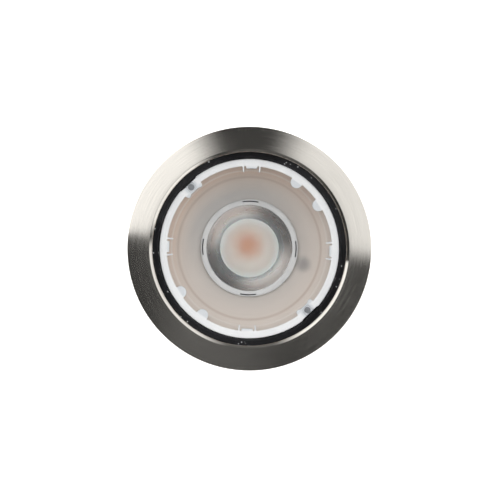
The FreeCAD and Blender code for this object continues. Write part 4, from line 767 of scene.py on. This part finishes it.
# %% [markdown]
# Each screw sits in a pocket of the ring's face. The face is a height over the plane: it is
# sunk wherever the point lies inside a rounded square, |u|^4 + |v|^4 < a^4, round the screw.

# %% Section of the ring
SCREW_CIRCLE = 52.3
POCKET_HALF, POCKET_WALL = 2.75, 0.3
RING_FACE, RING_BACK, RING_FOOT, RING_WALL = 4.0, 5.8, 9.0, 1.3


def pocket(radius):
    """Share of the pocket's depth at each angle: one inside the rounded square, none outside,
    and a straight slope between them."""
    x, y = radius * np.cos(angle), radius * np.sin(angle)
    share = np.zeros_like(x)
    for turn in SCREW_TURNS:
        u = x * math.cos(turn) + y * math.sin(turn) - SCREW_CIRCLE
        v = y * math.cos(turn) - x * math.sin(turn)
        inside = (POCKET_HALF - (u ** 4 + v ** 4) ** 0.25) / POCKET_WALL
        share = np.maximum(share, np.clip(inside, 0.0, 1.0))
    return share


def ring_rows(inner, outer, soft=0.28):
    """Rows of (radius, height) round the section: inner wall, face, outer wall and back, with
    small rounds at the edges that show."""
    shoulder, corner = RING_FACE + soft, RING_FACE + 0.3 * soft
    face = [(inner + soft + share * (outer - inner - 2 * soft)) for share in
            np.linspace(0.0, 1.0, 24)]
    return ([(inner, RING_BACK), (inner, shoulder), (inner + 0.3 * soft, corner)]
            + [(radius, RING_FACE + pocket(radius)) for radius in face]
            + [(outer - 0.3 * soft, corner), (outer, shoulder), (outer, RING_FOOT),
               (outer - RING_WALL, RING_FOOT), (outer - RING_WALL, RING_BACK)])


ring_grid = np.stack([polar(radius, angle, height)
                      for radius, height in ring_rows(inner_edge, outer_edge)])
from_grids("optic_ring_moulded", [ring_grid], "optic_ring", crease=50.0)

# %% [markdown]
# ## Bowl, collar, cone and dome
#
# The bowl is an arc turned round the axis, with a flat rim that hides under the white ring.
# Spinning left three faint rings half-way up, each a bump exp(-((r - c) / w)^2) on the arc.
# The collar at its throat has four curved slots: the row of points at the slot's floor drops
# only at the angles that the slots span. The cone and the dome inside it are plain turnings.

# %% Reflector bowl
inside = arc((31.5, 38.8), (51.0, 5.8), 43.0, False, 110)
for line in (42.0, 43.9, 45.6):
    inside[:, 1] += 0.06 * np.exp(-((inside[:, 0] - line) / 0.35) ** 2)
outside = arc((52.0, 6.8), (32.5, 38.8), 44.0, True, 24)
bowl_profile = np.vstack([inside, [(53.6, 5.8), (53.6, 6.8)], outside])
bowl_grid = turned(bowl_profile, 480)
around = np.arctan2(bowl_grid[..., 1], bowl_grid[..., 0])
reach = np.hypot(bowl_grid[..., 0], bowl_grid[..., 1])
limit = np.full_like(reach, reach.max())
for middle in SCREW_TURNS:
    limit = with_tab(limit, around, middle, 50.2, 0.0, 8.2)
bowl_grid[..., :2] *= (np.minimum(reach, limit) / reach)[..., None]
from_grids("reflector_bowl_spun", [bowl_grid], "reflector_bowl")

# %% Collar with its slots
collar_rows = [(27.7, 36.55), (27.9, 36.3), (28.2, 36.22), (29.6, 36.22), (29.8, 36.22),
               (29.8, 37.6), (30.55, 37.6), (30.55, 36.1), (30.75, 36.0), (31.0, 36.02),
               (31.2, 36.3), (31.2, 38.8), (34.5, 38.8), (34.5, 50.0), (28.6, 50.0),
               (28.6, 37.0), (27.7, 37.0)]
SLOT_ROWS, SLOT_FLOOR, SLOT_SPAN, BRIDGE_LEVEL = (5, 6), 37.6, math.radians(19.4), 36.26
LIP_ROWS, NOTCH_FLOOR, NOTCH_HALF = (8, 9, 10), 36.9, 0.7 / 31.2
collar_grid = turned(np.array(collar_rows), 720)
around = np.arctan2(collar_grid[..., 1], collar_grid[..., 0])
quarter = (around - CLOCKING + math.pi / 4) % (math.pi / 2) - math.pi / 4
closed = np.abs(quarter) > SLOT_SPAN / 2
for row in SLOT_ROWS:
    collar_grid[row, :, 2] = np.where(closed[row], BRIDGE_LEVEL, SLOT_FLOOR)
notch = np.abs(apart(around, SCREW_TURNS[0])) < NOTCH_HALF
for row in LIP_ROWS:
    collar_grid[row, :, 2] = np.where(notch[row], NOTCH_FLOOR, collar_grid[row, :, 2])
from_grids("throat_collar", [collar_grid], "reflector_collar", crease=28.0)

# %% Cone and dome
cone = [(27.6, 37.0), (28.45, 37.0), (19.8, 46.0), (19.0, 46.0)]
from_grids("polished_cone_spun", [turned(softened(cone, 0.15), 360)], "inner_reflector")
DOME_EDGE, DOME_BASE, DOME_RISE = 18.7, 46.0, 6.6
dome_radius = (DOME_EDGE ** 2 + DOME_RISE ** 2) / (2 * DOME_RISE)
cap = arc((0.0, DOME_BASE - DOME_RISE), (DOME_EDGE, DOME_BASE), dome_radius, True, 28)
dome_profile = np.vstack([cap, [(20.4, DOME_BASE), (20.4, 46.8), (0.0, 46.8)]])
from_grids("frosted_dome_moulded", [turned(dome_profile)], "dome_diffuser")

# %% [markdown]
# ## Castings and small parts
#
# The finned can, the cap, the brackets and the other small parts already have the right shape
# in the solid model. What they lack is the small round that every real edge has. A copy of
# each mesh is merged, its flat areas are joined into single faces, and a bevel of a few tenths
# of a millimetre finishes the edges.

# %% Rounded copies of solid pieces
def rounded_copy(node, width, steps=2):
    """A merged copy of a solid piece whose sharp edges get a bevel of that width."""
    mesh = frame["nodes"][node].data.copy()
    mesh.name = node + "_rounded"
    work = bmesh.new()
    work.from_mesh(mesh)
    bmesh.ops.remove_doubles(work, verts=work.verts, dist=2e-6)
    bmesh.ops.dissolve_limit(work, angle_limit=math.radians(0.6), verts=work.verts,
                             edges=work.edges)
    work.to_mesh(mesh)
    work.free()
    piece = add_piece(node + "_rounded", mesh, node, 30.0)
    bevel = piece.modifiers.new("edge round", "BEVEL")
    bevel.width = width * MM
    bevel.segments = steps
    bevel.limit_method = "ANGLE"
    bevel.angle_limit = math.radians(35.0)
    bevel.use_clamp_overlap = True
    bevel.harden_normals = True
    return piece


rounded_copy("lamp_housing", 0.35)
rounded_copy("rear_cap", 0.5, 3)
for node in ("led_holder", "terminal_block", "gland_locknut", "clip_pins"):
    rounded_copy(node, 0.2)
for number in (1, 2, 3):
    rounded_copy(f"clip_bracket_{number}", 0.2)
    rounded_copy(f"clip_arm_{number}", 0.18)
    rounded_copy(f"clip_sleeve_{number}", 0.4, 3)

# %% [markdown]
# ## Cable gland
#
# A hexagon in polar form is r = a / cos d, where d runs from -30 to 30 degrees between two
# corners. Where a turned cone of radius c cuts the corners, the smaller of the two radii holds,
# so one formula makes the bevelled hexagon, and the taper above it is a plain cone.


# %% Gland nut and body
def hexagon(around, half_flats):
    """Radius of a hexagon at an angle, from half the distance between its flats."""
    return half_flats / np.cos(np.mod(around, math.pi / 3) - math.pi / 6)


def hex_rows(rows, half_flats=12.0):
    """Rows (z, limit, is_hexagon): the radius is the limit, or the hexagon's if smaller."""
    around = full_turn(288)
    flats = hexagon(around, half_flats)
    return np.stack([polar(np.minimum(flats, limit) if hexed else limit, around, z)
                     for z, limit, hexed in rows])


nut = [(92.9, 9.6, False), (92.9, 12.6, True), (93.3, 13.9, True), (98.9, 13.9, True),
       (99.3, 13.3, True), (99.9, 12.0, True), (99.95, 11.2, False), (104.5, 8.95, False),
       (104.9, 8.5, False), (104.9, 6.2, False), (104.6, 6.0, False), (101.5, 6.0, False),
       (101.5, 9.6, False)]
from_grids("gland_nut_moulded", [hex_rows(nut)], "gland_nut")
stem = [(74.5, 6.5, False), (74.5, 9.6, False), (74.9, 10.0, False), (87.0, 10.0, False),
        (87.0, 12.4, True), (87.5, 13.6, True), (92.2, 13.9, True), (92.5, 13.3, True),
        (92.5, 9.4, False), (100.3, 9.4, False), (100.5, 9.2, False), (100.5, 7.6, False),
        (92.5, 7.6, False), (92.5, 6.5, False)]
from_grids("gland_stem", [hex_rows(stem)], "gland_body")
rubber = [(4.0, 92.5), (7.5, 92.5), (7.5, 101.5), (4.0, 101.5)]
from_grids("gland_rubber", [turned(softened(rubber, 0.5), 120)], "gland_seal")
washer = [(10.1, 85.5), (13.4, 85.5), (13.4, 87.0), (10.1, 87.0)]
from_grids("gland_washer_ring", [turned(softened(washer, 0.5), 160)], "gland_washer")


# %% [markdown]
# ## Screws
#
# A screw head shows its drive. In polar form the socket is a hexagon and the cross of the
# small screws is the longer of two bars, so again a row of points whose radius depends on the
# angle draws the edge of the recess, once at the top and once at its floor.

# %% Screw heads
UP = np.array([0.0, 0.0, 1.0])


def cross(around, long, wide):
    """Radius of a cross-shaped recess: the larger of the two bars' radii at that angle."""
    fold = np.abs(np.mod(around + math.pi / 4, math.pi / 2) - math.pi / 4)
    return np.minimum(long / np.cos(fold), wide / np.maximum(np.sin(fold), 1e-3))


def screw(shank, length, head, height, recess, depth):
    """A screw along +z with its seat at 0: shank down to -length, head up to height."""
    around = full_turn(72)
    hollow = recess(around)
    soft = min(0.35, height * 0.3)
    rows = [(0.0, -length), (shank, -length), (shank, 0.0), (head, 0.0),
            (head, height - soft), (head - 0.3 * soft, height - 0.3 * soft),
            (head - soft, height), (hollow, height), (hollow, height - depth),
            (0.0, height - depth)]
    return np.stack([polar(radius, around, z) for radius, z in rows])


def stand(points, seat, axis):
    """Turn points from +z to an axis (a unit vector) and move them to the seat."""
    axis = np.array(axis, float)
    helper = UP if abs(axis[2]) < 0.9 else np.array([1.0, 0.0, 0.0])
    first = np.cross(helper, axis)
    first /= np.linalg.norm(first)
    second = np.cross(axis, first)
    return (points[..., :1] * first + points[..., 1:2] * second + points[..., 2:] * axis
            + np.array(seat))


def spoke(number):
    """At one of the three clips, the directions outward from the axis and round it."""
    turn = number * 2 * math.pi / 3
    return (np.array([math.cos(turn), math.sin(turn), 0.0]),
            np.array([-math.sin(turn), math.cos(turn), 0.0]))


CAP_CORNER, CAP_LEVEL = 19.5, 85.5
cap_screw = screw(1.5, 12.5, 2.8, 2.2, lambda a: hexagon(a, 1.25), 1.3)
cap_seats = [(x * CAP_CORNER, y * CAP_CORNER, CAP_LEVEL)
             for x, y in ((1, 1), (-1, 1), (-1, -1), (1, -1))]
from_grids("cap_screws", [stand(cap_screw, seat, UP) for seat in cap_seats],
           "rear_cap_screws", crease=40.0)
PLATE_REACH, PLATE_LEVEL, PLATE_HALF = 61.6, 28.5, 4.5
clip_screw = screw(1.5, 4.2, 2.7, 1.9, lambda a: cross(a, 1.7, 0.38), 1.0)
clip_seats = []
for number in range(3):
    outward, aside = spoke(number)
    for side in (-PLATE_HALF, PLATE_HALF):
        seat = outward * PLATE_REACH + aside * side + UP * PLATE_LEVEL
        clip_seats.append(stand(clip_screw, seat, outward))
from_grids("clip_screws_crossed", clip_seats, "clip_screws", crease=40.0)
ring_screw = screw(1.25, 7.0, 1.95, 0.65, lambda a: cross(a, 1.5, 0.36), 0.45)
ring_seats = [(SCREW_CIRCLE * math.cos(turn), SCREW_CIRCLE * math.sin(turn), 4.98)
              for turn in SCREW_TURNS]
from_grids("ring_screws", [stand(ring_screw, seat, -UP) for seat in ring_seats],
           "optic_ring_screws", crease=40.0)


# %% [markdown]
# ## Clip springs
#
# Each clip has a torsion spring wound on its pin: a leg on the bracket, three turns, a leg on
# the arm and a hook through it. The coil is a helix about the pin; the corners of the hook are
# rounded with the same curve as the profiles. A ring of points is set square to the wire at
# every station.

# %% Wire of a clip spring
def spring_line(tilt=7.537, radius=2.6, pitch=2.2, turns=3.0):
    """Stations along the wire, from the pin's centre: x outward, y along the pin, z up."""
    total = turns * 360.0 + tilt
    turn = np.radians(np.linspace(180.0, 180.0 + total, 170))
    along = pitch * ((np.degrees(turn) - 180.0) / 360.0 - turns / 2)
    coil = np.stack([radius * np.cos(turn), along, radius * np.sin(turn)], axis=-1)
    slope = pitch / (2 * math.pi * radius)
    entry = np.array([-math.sin(turn[0]), slope, math.cos(turn[0])])
    leave = np.array([-math.sin(turn[-1]), slope, math.cos(turn[-1])])
    size = math.hypot(1.0, slope)
    rear = coil[0] - entry / size * np.linspace(6.0, 0.3, 8).reshape(-1, 1)
    lean = math.radians(tilt)
    outward = np.array([math.cos(lean), 0.0, math.sin(lean)])
    downward = np.array([math.sin(lean), 0.0, -math.cos(lean)])
    knee = coil[-1] + leave * 7.4
    far_knee = knee + outward * (2.6 + 0.6 + 0.2 + 0.6)
    tip = far_knee + downward * 3.2
    front = coil[-1] + (knee - coil[-1]) * np.linspace(0.05, 0.8, 8).reshape(-1, 1)
    t = np.linspace(0.0, 1.0, 9).reshape(-1, 1)
    bends = []
    for before, corner, after in ((coil[-1], knee, far_knee), (knee, far_knee, tip)):
        start = corner + (before - corner) / np.linalg.norm(before - corner) * 1.2
        end = corner + (after - corner) / np.linalg.norm(after - corner) * 1.2
        bends.append((1 - t) ** 2 * start + 2 * t * (1 - t) * corner + t ** 2 * end)
    return np.vstack([rear, coil, front, bends[0], bends[1], tip])


def wire(line, radius, sides=12):
    """A round tube on a line: each ring lies in the plane square to the wire, and the last
    ring at each end is drawn together to a point."""
    way = np.gradient(line, axis=0)
    way /= np.linalg.norm(way, axis=1, keepdims=True)
    pin = np.array([0.0, 1.0, 0.0])
    first = pin - way * (way @ pin)[:, None]
    first /= np.linalg.norm(first, axis=1, keepdims=True)
    second = np.cross(way, first)
    around = full_turn(sides)
    rings = (line[:, None] + radius * (np.cos(around)[:, None] * first[:, None]
                                       + np.sin(around)[:, None] * second[:, None]))
    ends = [np.repeat(line[n][None, None], sides, axis=1) for n in (0, -1)]
    return np.concatenate([ends[0], rings, ends[1]])


PIN_REACH, PIN_LEVEL = 65.0, 40.0
spring = wire(spring_line(), 0.6)
for number in range(3):
    outward, aside = spoke(number)
    pivot = outward * PIN_REACH + UP * PIN_LEVEL
    points = (pivot + spring[..., :1] * outward + spring[..., 1:2] * aside
              + spring[..., 2:] * UP)
    name = f"clip_spring_{number + 1}"
    coil = from_grids(name + "_wound", [points], name, closed_rows=False)
    coil.parent = None
    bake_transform(coil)

# %% [markdown]
# ## Finishes of the other solid pieces
#
# What hasn't been replaced keeps its own mesh and gets the finish that its record names.

# %% Dress the remaining solids
dressed = 0
for node, piece in frame["nodes"].items():
    if piece.hide_render:
        continue
    for slot in piece.material_slots:
        slot.material = FINISHES[SLOT_OF[node]]
    dressed += 1
print("solid pieces dressed:", dressed)

# %% [markdown]
# ## Floor, light and camera
#
# The lamp lies on its back on a white table, and the camera looks down on it, which in the
# lamp's own frame is up. The table is seen only from its front, so views from behind show the
# lamp. It looks white to the camera and in reflections, and the lamp's shadow darkens it.

# %% Table
HALF, LEVEL = 3.0, 0.1052
table_mesh = bpy.data.meshes.new("white_table")
table_mesh.from_pydata([(-HALF, -HALF, LEVEL), (-HALF, HALF, LEVEL), (HALF, HALF, LEVEL),
                        (HALF, -HALF, LEVEL)], [], [(0, 1, 2, 3)])
table = add_object("white_table", table_mesh)
table.visible_diffuse = False
table.visible_shadow = False
paper = bpy.data.materials.new("white_paper")
paper.use_nodes = True
tree = paper.node_tree
shader = tree.nodes["Principled BSDF"]
shader.inputs["Base Color"].default_value = (0.8, 0.8, 0.8, 1.0)
shader.inputs["Roughness"].default_value = 0.9
rays = tree.nodes.new("ShaderNodeLightPath")
seen = math_node(tree, "MAXIMUM", rays.outputs["Is Camera Ray"], math_node(
    tree, "MAXIMUM", rays.outputs["Is Glossy Ray"], rays.outputs["Is Transmission Ray"]))
glow = tree.nodes.new("ShaderNodeEmission")
link(tree, times(tree, seen, 0.93), glow.inputs["Strength"])
lit = tree.nodes.new("ShaderNodeAddShader")
link(tree, shader.outputs[0], lit.inputs[0])
link(tree, glow.outputs[0], lit.inputs[1])
clear = tree.nodes.new("ShaderNodeBsdfTransparent")
side = tree.nodes.new("ShaderNodeNewGeometry")
show_either(tree, side.outputs["Backfacing"], lit, clear)
table_mesh.materials.append(paper)
print("table at", LEVEL)

# %% [markdown]
# The brushed cone of the trim mirrors the studio: at each point it shows what stands in that
# direction round the camera. The photograph has two broad bright panels, at the upper left
# and at the right, a dark gap between them at the top and a dark lower half. The world here is
# that studio, written as brightness over the heading round the camera's axis. The camera
# itself sees plain white. The steep chamfer mirrors what stands at the sides, which are two
# panels of their own. Near the axis the studio is dark, so that the flat pane shows no glare.

# %% Studio
world = bpy.data.worlds.new("studio")
bpy.context.scene.world = world
world.use_nodes = True
tree = world.node_tree
ground = tree.nodes["Background"]
split = tree.nodes.new("ShaderNodeSeparateXYZ")
link(tree, tree.nodes.new("ShaderNodeTexCoord").outputs["Generated"], split.inputs[0])
east, north, up = split.outputs
heading = times(tree, math_node(tree, "ARCTAN2", times(tree, north, -1.0), east),
                180.0 / math.pi)


def panel(rise, fall, brightness):
    """Brightness that rises between two headings in degrees and falls between two more."""
    share = times(tree, ramp(tree, heading, *rise), ramp(tree, heading, *fall, 1.0, 0.0))
    return times(tree, share, brightness)


left_panel = panel((103.0, 126.0), (172.5, 174.5), 1.38)
right_panel = panel((-9.0, 0.0), (55.0, 79.0), 1.12)
corner_panel = panel((-72.0, -52.0), (-20.0, -6.0), 1.4)
top_panel = panel((56.0, 78.0), (102.0, 124.0), 0.13)
low_panel = panel((-150.0, -120.0), (-100.0, -60.0), 0.08)
off_axis = ramp(tree, up, -0.9965, -0.98, 0.08, 1.0)
broad = times(tree, plus(tree, left_panel, right_panel), off_axis)
sideways = times(tree, plus(tree, corner_panel, top_panel), ramp(tree, up, -0.45, -0.2))
below = plus(tree, broad, plus(tree, plus(tree, low_panel, sideways), 0.05))
behind = ramp(tree, up, -0.05, 0.25)
light = plus(tree, times(tree, below, minus(tree, 1.0, behind)), times(tree, behind, 0.8))
rays = tree.nodes.new("ShaderNodeLightPath")
link(tree, math_node(tree, "MAXIMUM", light, rays.outputs["Is Camera Ray"]),
     ground.inputs["Strength"])
ground.inputs["Color"].default_value = (1.0, 1.0, 1.0, 1.0)
print("studio ready")

# %% Lamp beside the camera
FILL_NORTH, FILL_BELOW = -0.06, -1.0
fill_data = bpy.data.lights.new("fill", "AREA")
fill_data.shape = "DISK"
fill_data.size = 1.5
fill_data.energy = 11.2
fill = add_object("fill", fill_data)
fill.location = (0.0, FILL_NORTH, FILL_BELOW)
fill.rotation_euler = (math.pi - math.atan2(-FILL_NORTH, -FILL_BELOW), 0.0, 0.0)
fill.visible_glossy = False

# %% [markdown]
# The camera is a little above the axis in the picture, which shifts what lies deep in the
# lamp upwards by a pixel. Its distance and lens give the photograph's scale of 0.61 mm for
# a pixel at the trim.

# %% Camera
SENSOR = 36.0
DISTANCE, WIDTH = 724.0, 306.75  # millimetres from eye to aim, and across the picture there
camera_data = bpy.data.cameras.new("camera")
camera_data.sensor_width = SENSOR
camera_data.lens = SENSOR * DISTANCE / WIDTH
camera = add_object("camera", camera_data)
eye = np.array([0.0, -0.0102, -0.727])
aim = np.array([0.0004, 0.0007, -0.003])
forward = (aim - eye) / np.linalg.norm(aim - eye)
right = np.cross(forward, np.array([0.0, -1.0, 0.0]))
right /= np.linalg.norm(right)
turn = np.eye(4)
turn[:3, :3] = np.stack([right, np.cross(right, forward), -forward], axis=-1)
turn[:3, 3] = eye
camera.matrix_world = Matrix(turn.tolist())
bpy.context.scene.camera = camera
bpy.context.scene.view_settings.view_transform = "Standard"
print("camera at", eye.tolist())
